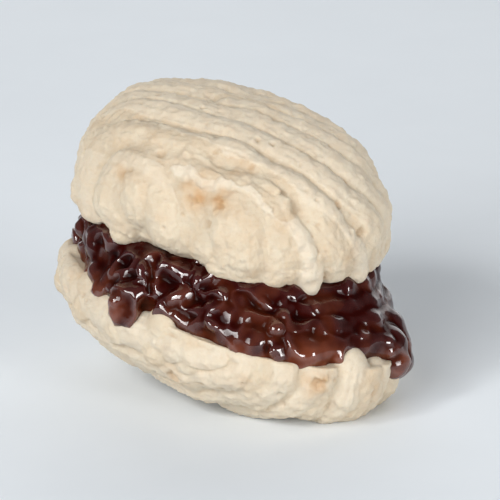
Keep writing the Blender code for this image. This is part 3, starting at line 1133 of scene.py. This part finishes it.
@dataclass(frozen=True)
class Thinness:
    """Where the chocolate is so thin that its colour shows, as shares from 0 to 1.

    Attributes:
        patches: How thin it is in patches all over.
        patch_level: How much of the skin they cover.
        patch_waves: The strength and the length of the waves that draw their edges.
        edge: How thin it is along the lower half's face, and how far that goes up and down.
        edge_wave: The length of the waves in which it does.
        edge_height: How far up from that face the thin edge reaches.
        smears: How thin it is in its smears.
        hollows: What is left of all this in the hollows between lumps, a painted shade that darkens them.
    """

    patches: float = 0.35
    patch_level: float = 0.1
    patch_waves: tuple[tuple[float, float], ...] = ((1.0, 3.2 * MM), (0.5, 1.1 * MM))
    edge: tuple[float, float] = (0.4, 0.5)
    edge_wave: float = 2.0 * MM
    edge_height: float = 1.3 * MM
    smears: float = 0.9
    hollows: float = 0.35

    def at(self, point: Vector, above: float, smeared: float) -> float:
        """Works out how thin the chocolate is at a place.

        Args:
            point: The place.
            above: How far it lies above the lower half's face.
            smeared: How far it lies in a smear, from 0 to 1.

        Returns:
            The thinness.
        """
        waves = sum(strength * wave(point, length) for strength, length in self.patch_waves)
        patchy = clamp(self.patch_level + waves)
        average, swing = self.edge
        edge = bell(max(0.0, above), self.edge_height) * (average + swing * wave(point, self.edge_wave))
        return clamp(self.patches * patchy + edge + self.smears * smeared)


@dataclass
class Filling:
    """The chocolate between the halves.

    Insets are how far inside the rims of the two halves something lies: on the far side, and on the side on
    which most of the chocolate is squeezed out, there at the lower face and at the upper.

    Attributes:
        node: The part's node that it stands for.
        ropes: How far up from the lower face each rope round the edge lies, as shares.
        rope_insets: Where they lie.
        lumps: How many lumps each rope has.
        lump_radius: How thick they are.
        lump_sizes: The smallest and the largest, as shares of that.
        lump_shift: How far they stray along the rope, as a share of the way to the next.
        lump_spread: How far they stray to the sides.
        ooze_side: The side on which most of it is squeezed out, in degrees.
        ooze_breadth: 1 makes that side rise as a plain wave round the edge, and less makes it broader.
        ledge_side: The side on which it leaves a ledge of the lower half bare, in degrees.
        ledge_reach: How far round the edge that ledge goes, in radians.
        ledge_depth: How wide the ledge is.
        behind_knobs: How far it stays behind the knobs of the lower rim, as a share of their height.
        beads: How many lumps sit on it.
        bead_insets: Where they lie.
        bead_radii: The smallest and the largest of them, in millimetres.
        bead_shares: How far up the lowest and the highest of them lie, as shares.
        core_insets: Where the edge of its solid middle lies, on the far side and on the other.
        core_reach: How far up and down from half way the solid middle reaches, as a share of the gap.
        clots: The small lumps in its skin.
        broken_side: The side on which it is broken up into lumps, in degrees.
        broken: How far it is broken up on the average, how much more on that side, and how patchily.
        broken_patch: How large the patches are.
        folds: The folds of its skin.
        drips: Where it runs over the lower rim.
        smears: Where it is spread thin, each as its angle in degrees, how far up it lies and its reach.
        thinness: How its thin places look.
        hollow_depth: How far below the lumps round it the bottom of a hollow lies.
        seed: Where its chances start.
        cell: How finely it is fused.
    """

    node: str = "chocolate_filling"
    ropes: tuple[float, ...] = (0.12, 0.36, 0.58, 0.78)
    rope_insets: tuple[float, float, float] = (3.9 * MM, 1.5 * MM, 3.1 * MM)
    lumps: int = 44
    lump_radius: float = 1.8 * MM
    lump_sizes: tuple[float, float] = (0.72, 1.22)
    lump_shift: float = 0.3
    lump_spread: float = 0.45 * MM
    ooze_side: float = -40.0
    ooze_breadth: float = 0.7
    ledge_side: float = -140.0
    ledge_reach: float = 0.33
    ledge_depth: float = 1.3 * MM
    behind_knobs: float = 0.7
    beads: int = 90
    bead_insets: tuple[float, float, float] = (3.2 * MM, 0.5 * MM, 2.2 * MM)
    bead_radii: tuple[float, float] = (0.7, 1.3)
    bead_shares: tuple[float, float] = (0.05, 0.8)
    core_insets: tuple[float, float] = (4.2 * MM, 2.8 * MM)
    core_reach: float = 0.53
    clots: Clots = field(default_factory=Clots)
    broken_side: float = -115.0
    broken: tuple[float, float, float] = (0.35, 0.75, 0.4)
    broken_patch: float = 6.0 * MM
    folds: Folds = field(default_factory=Folds)
    drips: list[Knob] = field(
        default_factory=lambda: [Knob(-102, 4.4, 0.6), Knob(13, 4.4, 0.8), Knob(25, 5.6, 1.7)]
    )
    smears: tuple[tuple[float, float, float], ...] = (
        (-36.0, 0.1, 2.6 * MM),
        (-24.0, 0.1, 1.8 * MM),
        (-104.0, -0.1, 1.3 * MM),
    )
    thinness: Thinness = field(default_factory=Thinness)
    hollow_depth: float = 0.16 * MM
    seed: int = 5
    cell: float = 0.2 * MM

    def between(self, angle: float, inset: float, share: float) -> Vector:
        """Finds a point in the chocolate.

        Args:
            angle: Its place round the edge, in radians.
            inset: How far it lies inside the rims of the two halves.
            share: How far up it lies, from the lower face at 0 to the upper at 1.

        Returns:
            The point.
        """
        ends = []
        for half in (LOWER, UPPER):
            x = math.cos(angle) * (half.length / 2 - inset)
            y = math.sin(angle) * (half.width / 2 - inset)
            ends.append(half.face() @ Vector((x, y, 0.0)))
        return ends[0].lerp(ends[1], share)

    def oozing(self, angle: float) -> float:
        """Returns how far the chocolate is squeezed out at an angle, from 0 to 1."""
        return (0.5 + 0.5 * math.cos(angle - math.radians(self.ooze_side))) ** self.ooze_breadth

    def inset(self, insets: tuple[float, float, float], angle: float, share: float) -> float:
        """Returns how far inside the rims something lies at an angle and that share of the way up."""
        far, low, high = insets
        return mix(far, mix(low, high, share), self.oozing(angle))

    def held_back(self, angle: float) -> float:
        """Works out how far the chocolate stays behind the lower rim and its knobs.

        Args:
            angle: The place round the edge, in radians.

        Returns:
            How far.
        """
        turned = math.remainder(angle - math.radians(self.ledge_side), 2 * math.pi)
        back = self.ledge_depth * bell(turned, self.ledge_reach)
        for item in LOWER.knobs:
            reach = item.width * MM / (LOWER.length / 2)
            apart = math.remainder(angle + math.radians(item.angle), 2 * math.pi)
            back += self.behind_knobs * item.height * MM * bell(apart, reach)
        return back

    def rope(self, share: float, draw: random.Random) -> Strand:
        """Lays one lumpy rope round the edge.

        Args:
            share: How far up it lies.
            draw: Where the chances come from.

        Returns:
            Its strand.
        """
        points, radii = [], []
        for k in range(self.lumps):
            angle = 2 * math.pi * (k + draw.uniform(-self.lump_shift, self.lump_shift)) / self.lumps
            radii.append(self.lump_radius * draw.uniform(*self.lump_sizes))
            inset = self.inset(self.rope_insets, angle, share) + self.held_back(angle) * (1 - share)
            inset += draw.uniform(-self.lump_spread, self.lump_spread)
            point = self.between(angle, inset, share)
            point.z += draw.uniform(-self.lump_spread, self.lump_spread)
            points.append(point)
        return Strand(points, radii, closed=True)

    def bead(self, draw: random.Random) -> Strand:
        """Shapes one lump on the outside.

        Args:
            draw: Where the chances come from.

        Returns:
            Its strand.
        """
        angle = draw.uniform(-math.pi, math.pi)
        share = draw.uniform(*self.bead_shares)
        radius = draw.uniform(*self.bead_radii) * MM
        inset = self.inset(self.bead_insets, angle, share) + self.held_back(angle)
        middle = self.between(angle, inset, share)
        reach = Vector((draw.uniform(-1, 1), draw.uniform(-1, 1), draw.uniform(-0.5, 0.5))) * radius
        return lump(middle, reach, radius, (1.0, 1.0, 0.8))

    def drip(self, item: Knob, start: float = 3.4 * MM, rise: float = 1.5 * MM, steps: int = 12) -> Strand:
        """Pours one run of chocolate over the rim of the lower half.

        Args:
            item: Where it hangs, how wide it is and how far down it comes.
            start: How far inside the rim it starts.
            rise: How high over the lower face it starts.
            steps: How many places its strand has.

        Returns:
            Its strand.
        """
        points, radii = [], []
        width = item.width * MM
        for k in range(steps):
            t = k / (steps - 1)
            turn = t * math.pi / 2
            inset = mix(start, DRIP_INSET * width, math.sin(turn))
            point = self.between(math.radians(item.angle), inset, 0.0)
            point.z += rise * math.cos(turn) - item.height * MM * (1 - math.cos(turn))
            points.append(point)
            lumpy = 1 + 0.2 * wave(point, 1.6 * MM)
            radii.append(0.5 * width * mix(0.8, 1.0, t) * lumpy)
        return Strand(points, radii)

    def core(self) -> bpy.types.Object:
        """Makes the solid middle, a drum that reaches a little into both halves.

        Returns:
            The drum.
        """
        bpy.ops.object.select_all(action="DESELECT")
        bpy.ops.mesh.primitive_cylinder_add(vertices=96, radius=1.0, depth=2.0)
        drum = bpy.context.object
        for vertex in drum.data.vertices:
            angle = math.atan2(vertex.co.y, vertex.co.x)
            inset = mix(*self.core_insets, self.oozing(angle))
            vertex.co = self.between(angle, inset, 0.5 + self.core_reach * vertex.co.z)
        return drum

    def brokenness(self, point: Vector) -> float:
        """Works out how far the chocolate is broken up into lumps.

        Args:
            point: The place.

        Returns:
            How far, from 0 to 1.
        """
        average, swing, patchy = self.broken
        turned = math.atan2(point.y, point.x) - math.radians(self.broken_side)
        return clamp(average + swing * math.cos(turned) + patchy * wave(point, self.broken_patch))

    def clot(self, place: Vector, outward: Vector, draw: random.Random) -> Strand:
        """Shapes one small lump half sunk in the skin of the mass.

        Args:
            place: Where it sits.
            outward: Which way the skin faces there.
            draw: Where the chances come from.

        Returns:
            Its strand.
        """
        largest = mix(*self.clots.largest, self.brokenness(place))
        radius = mix(self.clots.smallest, largest, draw.random()) * MM
        start = place - outward * radius * draw.uniform(*self.clots.sunk)
        reach = Vector((draw.uniform(-1, 1), draw.uniform(-1, 1), draw.uniform(-1, 1)))
        reach = reach * radius * self.clots.reach
        reach -= outward * reach.dot(outward)
        return lump(start, reach, radius, self.clots.taper)

    def hollows(self, mass: bpy.types.Object) -> list[float]:
        """Works out how far the skin lies in hollows, for their painted shade and gloss, from a copy with its
        lumps worn level.

        Args:
            mass: The fused chocolate.

        Returns:
            How far each vertex lies in a hollow between lumps, from 0 to 1.
        """
        places, outwards = skin(mass)
        pick(mass)
        bpy.ops.object.duplicate()
        worn = bpy.context.object
        finish_with(worn, "SMOOTH", factor=0.5, iterations=24)
        levelled, _ = skin(worn)
        bpy.data.objects.remove(worn)
        rises = [(level - place).dot(outward) for level, place, outward in zip(levelled, places, outwards)]
        return [clamp(0.5 + rise / self.hollow_depth) for rise in rises]

    def knead(self, mass: bpy.types.Object) -> None:
        """Gives the skin its folds, and the masks that its thin places, its gloss and the painted shade of
        its hollows follow.

        Args:
            mass: The fused chocolate, before it is moved to the part's frame.
        """
        below = LOWER.face().inverted()
        smears = []
        for angle, share, reach in self.smears:
            smears.append((self.between(math.radians(angle), 0.0, share), reach))
        thin, moved = [], []
        for point, outward in zip(*skin(mass)):
            moved.append(point + outward * self.folds.height(point, self.brokenness(point)) * MM)
            smeared = max(bell((point - middle).length, reach) for middle, reach in smears)
            thin.append(self.thinness.at(point, (below @ point).z, smeared))
        move_skin(mass, moved)
        hollow_shade = self.hollows(mass)
        # painted shade: less of the thin red-brown colour in the hollows, so that they look darker
        thin = [share * mix(1.0, self.thinness.hollows, hollow) for share, hollow in zip(thin, hollow_shade)]
        write_masks(mass, {"thin": thin, "hollow": hollow_shade})

    def build(self) -> bpy.types.Object:
        """Lays the chocolate, fuses it and works its skin.

        Returns:
            The finished mesh object.
        """
        draw = random.Random(self.seed)
        strands = [self.rope(share, draw) for share in self.ropes]
        strands += [self.drip(item) for item in self.drips]
        strands += [self.bead(draw) for _ in range(self.beads)]
        mass = join([lay("chocolate", strands), self.core()])
        finish_with(mass, "REMESH", mode="VOXEL", voxel_size=self.cell)
        spots = draw.sample(list(zip(*skin(mass))), self.clots.spares * self.clots.count)
        spots.sort(key=lambda spot: draw.random() - self.brokenness(spot[0]))
        clots = [self.clot(place, outward, draw) for place, outward in spots[: self.clots.count]]
        mass = join([mass, lay("clots", clots, 3)])
        finish_with(mass, "REMESH", mode="VOXEL", voxel_size=self.cell)
        finish_with(mass, "SMOOTH", factor=0.5, iterations=12)
        self.knead(mass)
        settle(mass, "chocolate_poured")
        return mass

    def dress(self, piece: bpy.types.Object, material: bpy.types.Material) -> None:
        """Gives the poured chocolate its finish and puts it in the place of its node."""
        deliver(piece, self.node, material)


# --- finishes ---------------------------------------------------------------------------------------------

Colour = tuple[float, float, float]
Socket = bpy.types.NodeSocket


class Board:
    """A node tree that is being wired.

    Attributes:
        tree: The tree.
    """

    def __init__(self, tree: bpy.types.NodeTree) -> None:
        """Takes the tree to be wired."""
        self.tree = tree

    def node(
        self, kind: str, inputs: dict[str | int, object] | None = None, **settings: object
    ) -> bpy.types.Node:
        """Adds a shader node.

        Args:
            kind: Its type without "ShaderNode".
            inputs: A value or another node's output for each of its sockets, by name or number.
            **settings: Its properties by name.

        Returns:
            The node.
        """
        made = self.tree.nodes.new("ShaderNode" + kind)
        for key, value in settings.items():
            setattr(made, key, value)
        for key, value in (inputs or {}).items():
            if isinstance(value, Socket):
                self.tree.links.new(value, made.inputs[key])
            else:
                made.inputs[key].default_value = value
        return made

    def tint(self, share: Socket | float, start: Socket | Colour, end: Socket | Colour) -> Socket:
        """Returns a colour that goes from start to end with a mask."""
        sockets = [value if isinstance(value, Socket) else (*value, 1.0) for value in (start, end)]
        return self.node("Mix", {0: share, 6: sockets[0], 7: sockets[1]}, data_type="RGBA").outputs[2]

    def stain(self, colour: Socket, mask: Socket, share: float, stain: Colour) -> Socket:
        """Returns a colour that goes that share of the way to a stain where a mask is full."""
        amount = self.node("Math", {0: mask, 1: share}, operation="MULTIPLY", use_clamp=True)
        return self.tint(amount.outputs[0], colour, stain)

    def spread(self, value: Socket, low: float, high: float, start: float = 0.0, end: float = 1.0) -> Socket:
        """Returns a value stretched so that low becomes start and high becomes end."""
        stretch = {0: value, 1: low, 2: high, 3: start, 4: end}
        return self.node("MapRange", stretch, clamp=True).outputs[0]

    def mask(self, name: str) -> Socket:
        """Returns a mask that was kept on the piece's vertices."""
        return self.node("Attribute", attribute_name=name).outputs["Fac"]


def crumb_group() -> bpy.types.NodeTree:
    """Builds the node group for the fine unevenness of food, the first time that it is asked for.

    Returns:
        The group. Its mottling and specks are masks, and its height is for a bump.
    """
    known = bpy.data.node_groups.get("fine crumb")
    if known:
        return known
    group = bpy.data.node_groups.new("fine crumb", "ShaderNodeTree")
    for name in ("Grain Size", "Mottle Size"):
        group.interface.new_socket(name, in_out="INPUT", socket_type="NodeSocketFloat")
    for name in ("Mottle", "Height", "Specks"):
        group.interface.new_socket(name, in_out="OUTPUT", socket_type="NodeSocketFloat")
    board = Board(group)
    sizes = group.nodes.new("NodeGroupInput").outputs
    place = board.node("TexCoord").outputs["Object"]
    grain_scale = board.node("Math", {0: 1.0, 1: sizes["Grain Size"]}, operation="DIVIDE").outputs[0]
    mottle_scale = board.node("Math", {0: 1.0, 1: sizes["Mottle Size"]}, operation="DIVIDE").outputs[0]
    grain = board.node("TexNoise", {"Vector": place, "Scale": grain_scale, "Detail": 3.0, "Roughness": 0.6})
    mottle = board.node("TexNoise", {"Vector": place, "Scale": mottle_scale, "Detail": 4.0, "Roughness": 0.6})
    specks = board.node("TexVoronoi", {"Vector": place, "Scale": grain_scale}, feature="F1")
    ends = group.nodes.new("NodeGroupOutput").inputs
    group.links.new(board.spread(mottle.outputs[0], 0.3, 0.7), ends["Mottle"])
    group.links.new(grain.outputs[0], ends["Height"])
    group.links.new(board.spread(specks.outputs["Distance"], 0.32, 0.12), ends["Specks"])
    return group


class Finish(Board):
    """The node tree of one material, with its shader and the fine unevenness of food.

    Attributes:
        material: The material.
        shader: The shader that all of it feeds.
        crumb: What the fine unevenness gives out: "Mottle", "Height" and "Specks".
    """

    def __init__(self, name: str, grain_size: float, mottle_size: float) -> None:
        """Starts a new material.

        Args:
            name: Its name.
            grain_size: How fine its grain is.
            mottle_size: How large its mottling is.
        """
        self.material = bpy.data.materials.new(name)
        self.material.use_nodes = True
        super().__init__(self.material.node_tree)
        self.shader = self.tree.nodes["Principled BSDF"]
        crumb = self.node("Group", node_tree=crumb_group())
        crumb.inputs["Grain Size"].default_value = grain_size
        crumb.inputs["Mottle Size"].default_value = mottle_size
        self.crumb = crumb.outputs

    def link(self, sources: dict[str, Socket]) -> None:
        """Links sources to inputs of the shader, where they change over the surface."""
        for name, source in sources.items():
            self.tree.links.new(source, self.shader.inputs[name])

    def fix(self, settings: dict[str, float | Colour]) -> None:
        """Sets inputs of the shader that are the same all over the surface."""
        for name, value in settings.items():
            self.shader.inputs[name].default_value = value

    def relief(self, strength: float, height: float) -> Socket:
        """Returns the surface's direction with the grain on it, shown that strongly and that high."""
        settings = {"Height": self.crumb["Height"], "Strength": strength, "Distance": height}
        return self.node("Bump", settings).outputs[0]


@dataclass(frozen=True)
class Dough:
    """Baked butter dough: matt, pale and faintly translucent, tan where it is baked darker, with a painted
    highlight along its crests and painted shade in its valleys and pores.

    Attributes:
        pale: Its colour where its mottling is pale.
        warm: Its colour where its mottling is warm.
        shade: The painted shade in its valleys and pores.
        tan: The colour of its darker patches and its specks.
        crest_highlight: The painted highlight along its crests.
        crests: How strongly the painted highlight along the crests shows, from 0 to 1.
        valleys: How strongly the painted shade in the valleys shows.
        pores: How strongly the painted shade in the pores shows.
        patches: How strongly the darker patches show.
        specks: How strongly the specks show.
        roughness: Its roughness where it is pale and where it is warm.
    """

    pale: Colour = (0.61, 0.53, 0.405)
    warm: Colour = (0.58, 0.465, 0.33)
    shade: Colour = (0.47, 0.33, 0.20)
    tan: Colour = (0.46, 0.26, 0.11)
    crest_highlight: Colour = (0.69, 0.62, 0.51)
    crests: float = 0.45
    valleys: float = 0.1
    pores: float = 0.5
    patches: float = 0.8
    specks: float = 0.12
    roughness: tuple[float, float] = (0.62, 0.85)

    def material(self) -> bpy.types.Material:
        """Makes the material.

        Returns:
            The material.
        """
        finish = Finish("baked dough", 0.3 * MM, 2.2 * MM)
        mottle = finish.crumb["Mottle"]
        colour = finish.tint(mottle, self.pale, self.warm)
        # painted highlight: the crests are lightened along their middle
        colour = finish.stain(colour, finish.mask("crest"), self.crests, self.crest_highlight)
        # painted shade: the valleys and the pores are darkened towards the shade colour
        colour = finish.stain(colour, finish.mask("valley"), self.valleys, self.shade)
        colour = finish.stain(colour, finish.mask("pore"), self.pores, self.shade)
        colour = finish.stain(colour, finish.mask("toast"), self.patches, self.tan)
        colour = finish.stain(colour, finish.crumb["Specks"], self.specks, self.tan)
        rough = finish.spread(mottle, 0.0, 1.0, *self.roughness)
        finish.link({"Base Color": colour, "Roughness": rough, "Normal": finish.relief(0.7, 0.09 * MM)})
        finish.fix(
            {
                "Subsurface Weight": 0.3,
                "Subsurface Radius": (1.0, 0.8, 0.6),
                "Subsurface Scale": 1.2 * MM,
                "Specular IOR Level": 0.3,
            }
        )
        return finish.material


@dataclass(frozen=True)
class Chocolate:
    """Dark chocolate, glossy and lumpy, nearly black where it is thick and red-brown where it is thin, with
    painted shade in the hollows between its lumps.

    Attributes:
        hollow_shade: The painted shade in the hollows between its lumps.
        thick: Its colour on the lumps.
        thin: Its colour where it is thin.
        roughness: The lowest and the highest roughness under its gloss.
        gloss: How strong its gloss is on the lumps and in the hollows.
        hollows: From where to where in the mask of the hollows the gloss goes from one to the other.
    """

    hollow_shade: Colour = (0.008, 0.0005, 0.0003)
    thick: Colour = (0.042, 0.0022, 0.0010)
    thin: Colour = (0.155, 0.036, 0.014)
    roughness: tuple[float, float] = (0.10, 0.25)
    gloss: tuple[float, float] = (1.0, 0.0)
    hollows: tuple[float, float] = (0.1, 0.6)

    def material(self) -> bpy.types.Material:
        """Makes the material.

        Returns:
            The material.
        """
        finish = Finish("dark chocolate", 0.5 * MM, 1.6 * MM)
        hollow = finish.mask("hollow")
        # painted shade: the hollows between the lumps go near black
        colour = finish.tint(finish.mask("thin"), finish.tint(hollow, self.thick, self.hollow_shade), self.thin)
        rough = finish.spread(finish.crumb["Mottle"], 0.0, 1.0, *self.roughness)
        gloss = finish.spread(hollow, *self.hollows, *self.gloss)
        finish.link({"Base Color": colour, "Roughness": rough, "Coat Weight": gloss})
        finish.link({"Normal": finish.relief(0.3, 0.05 * MM)})
        finish.fix({"Coat Roughness": 0.06, "Coat IOR": 1.8, "Specular IOR Level": 0.06})
        return finish.material


@dataclass(frozen=True)
class Glaze:
    """The pale glaze of the table top.

    Attributes:
        light: Its colour where it is lightest.
        dark: Its colour where it is darkest.
    """

    light: Colour = (0.83, 0.875, 0.915)
    dark: Colour = (0.80, 0.845, 0.885)

    def material(self) -> bpy.types.Material:
        """Makes the material.

        Returns:
            The material.
        """
        finish = Finish("pale glaze", 2.0 * MM, 40.0 * MM)
        finish.link({"Base Color": finish.tint(finish.crumb["Mottle"], self.light, self.dark)})
        finish.fix({"Roughness": 0.7, "Specular IOR Level": 0.1})
        return finish.material


# --- the studio -------------------------------------------------------------------------------------------


@dataclass(frozen=True)
class Lamp:
    """A square lamp that shines at the biscuit.

    Attributes:
        name: Its name.
        azimuth: Where it stands, in degrees to the right of the camera.
        elevation: How high it stands, in degrees.
        size: The side of its square.
        power: Its power in watts.
    """

    name: str
    azimuth: float
    elevation: float
    size: float
    power: float


@dataclass
class Studio:
    """The table, the lamps, the camera and the room.

    Attributes:
        table_size: The side of the table top.
        azimuth: Where the camera stands, in degrees round from -Y towards +X.
        elevation: How high it stands, in degrees.
        distance: How far from the biscuit it stands.
        frame_width: How wide a view it takes there.
        film_width: How wide its film is, in millimetres.
        target: What it looks at.
        lamp_distance: How far from the biscuit the lamps stand.
        lamps: The lamps.
        daylight: The colour of the light that fills the room.
        daylight_strength: How strong that light is.
    """

    table_size: float = 6.0
    azimuth: float = 35.0
    elevation: float = 19.0
    distance: float = 0.6
    frame_width: float = 0.057
    film_width: float = 36.0
    target: Vector = field(default_factory=lambda: Vector((0.0010, 0.0009, 0.0160)))
    lamp_distance: float = 1.2
    lamps: tuple[Lamp, ...] = (
        Lamp("window", -30, 26, 0.68, 11.0),
        Lamp("small window", -50, 38, 0.24, 3.2),
        Lamp("lamp on the right", 46, 10, 0.4, 7.6),
        Lamp("lamp behind", 172, 16, 1.6, 12.0),
    )
    daylight: Colour = (0.93, 0.96, 1.0)
    daylight_strength: float = 0.18

    def lay_table(self) -> None:
        """Adds the pale table top."""
        bpy.ops.object.select_all(action="DESELECT")
        bpy.ops.mesh.primitive_plane_add(size=self.table_size)
        top = bpy.context.object
        top.name = "table_top"
        top.data.materials.append(Glaze().material())

    def facing(self, azimuth: float, elevation: float) -> Vector:
        """Returns the direction from the biscuit to a place round it, given as the camera's is."""
        around, up = math.radians(azimuth), math.radians(elevation)
        return Vector((math.sin(around) * math.cos(up), -math.cos(around) * math.cos(up), math.sin(up)))

    def hang(self, item: Lamp) -> None:
        """Adds one lamp.

        Args:
            item: The lamp.
        """
        back = self.facing(self.azimuth + item.azimuth, item.elevation)
        bpy.ops.object.light_add(type="AREA", location=self.target + back * self.lamp_distance)
        lamp = bpy.context.object
        lamp.name = item.name
        lamp.data.size = item.size
        lamp.data.energy = item.power
        lamp.rotation_mode = "QUATERNION"
        lamp.rotation_quaternion = back.to_track_quat("Z", "Y")

    def set_camera(self) -> None:
        """Adds the camera at the photograph's viewing angle."""
        back = self.facing(self.azimuth, self.elevation)
        bpy.ops.object.camera_add(location=self.target + back * self.distance)
        camera = bpy.context.object
        camera.rotation_mode = "QUATERNION"
        camera.rotation_quaternion = back.to_track_quat("Z", "Y")
        camera.data.sensor_width = self.film_width
        camera.data.lens = self.film_width * self.distance / self.frame_width
        camera.data.clip_start = 10.0 * MM
        bpy.context.scene.camera = camera

    def light_room(self) -> None:
        """Fills the room with soft daylight."""
        world = bpy.data.worlds.new("room")
        world.use_nodes = True
        background = world.node_tree.nodes["Background"].inputs
        background["Color"].default_value = (*self.daylight, 1.0)
        background["Strength"].default_value = self.daylight_strength
        bpy.context.scene.world = world
        bpy.context.scene.view_settings.view_transform = "Standard"

    def build(self) -> None:
        """Sets up the whole studio."""
        self.lay_table()
        for item in self.lamps:
            self.hang(item)
        self.set_camera()
        self.light_room()


# --- put together -----------------------------------------------------------------------------------------


def main() -> None:
    """Builds every piece in order and reports each one."""
    logging.basicConfig(level=logging.INFO, format="%(name)s: %(message)s")
    baked = Dough().material()
    for half in (LOWER, UPPER):
        half.dress(half.build(), baked)
    filling = Filling()
    filling.dress(filling.build(), Chocolate().material())
    Studio().build()
    LOG.info("the table, the lamps and the camera stand ready")


if __name__ == "__main__":
    main()
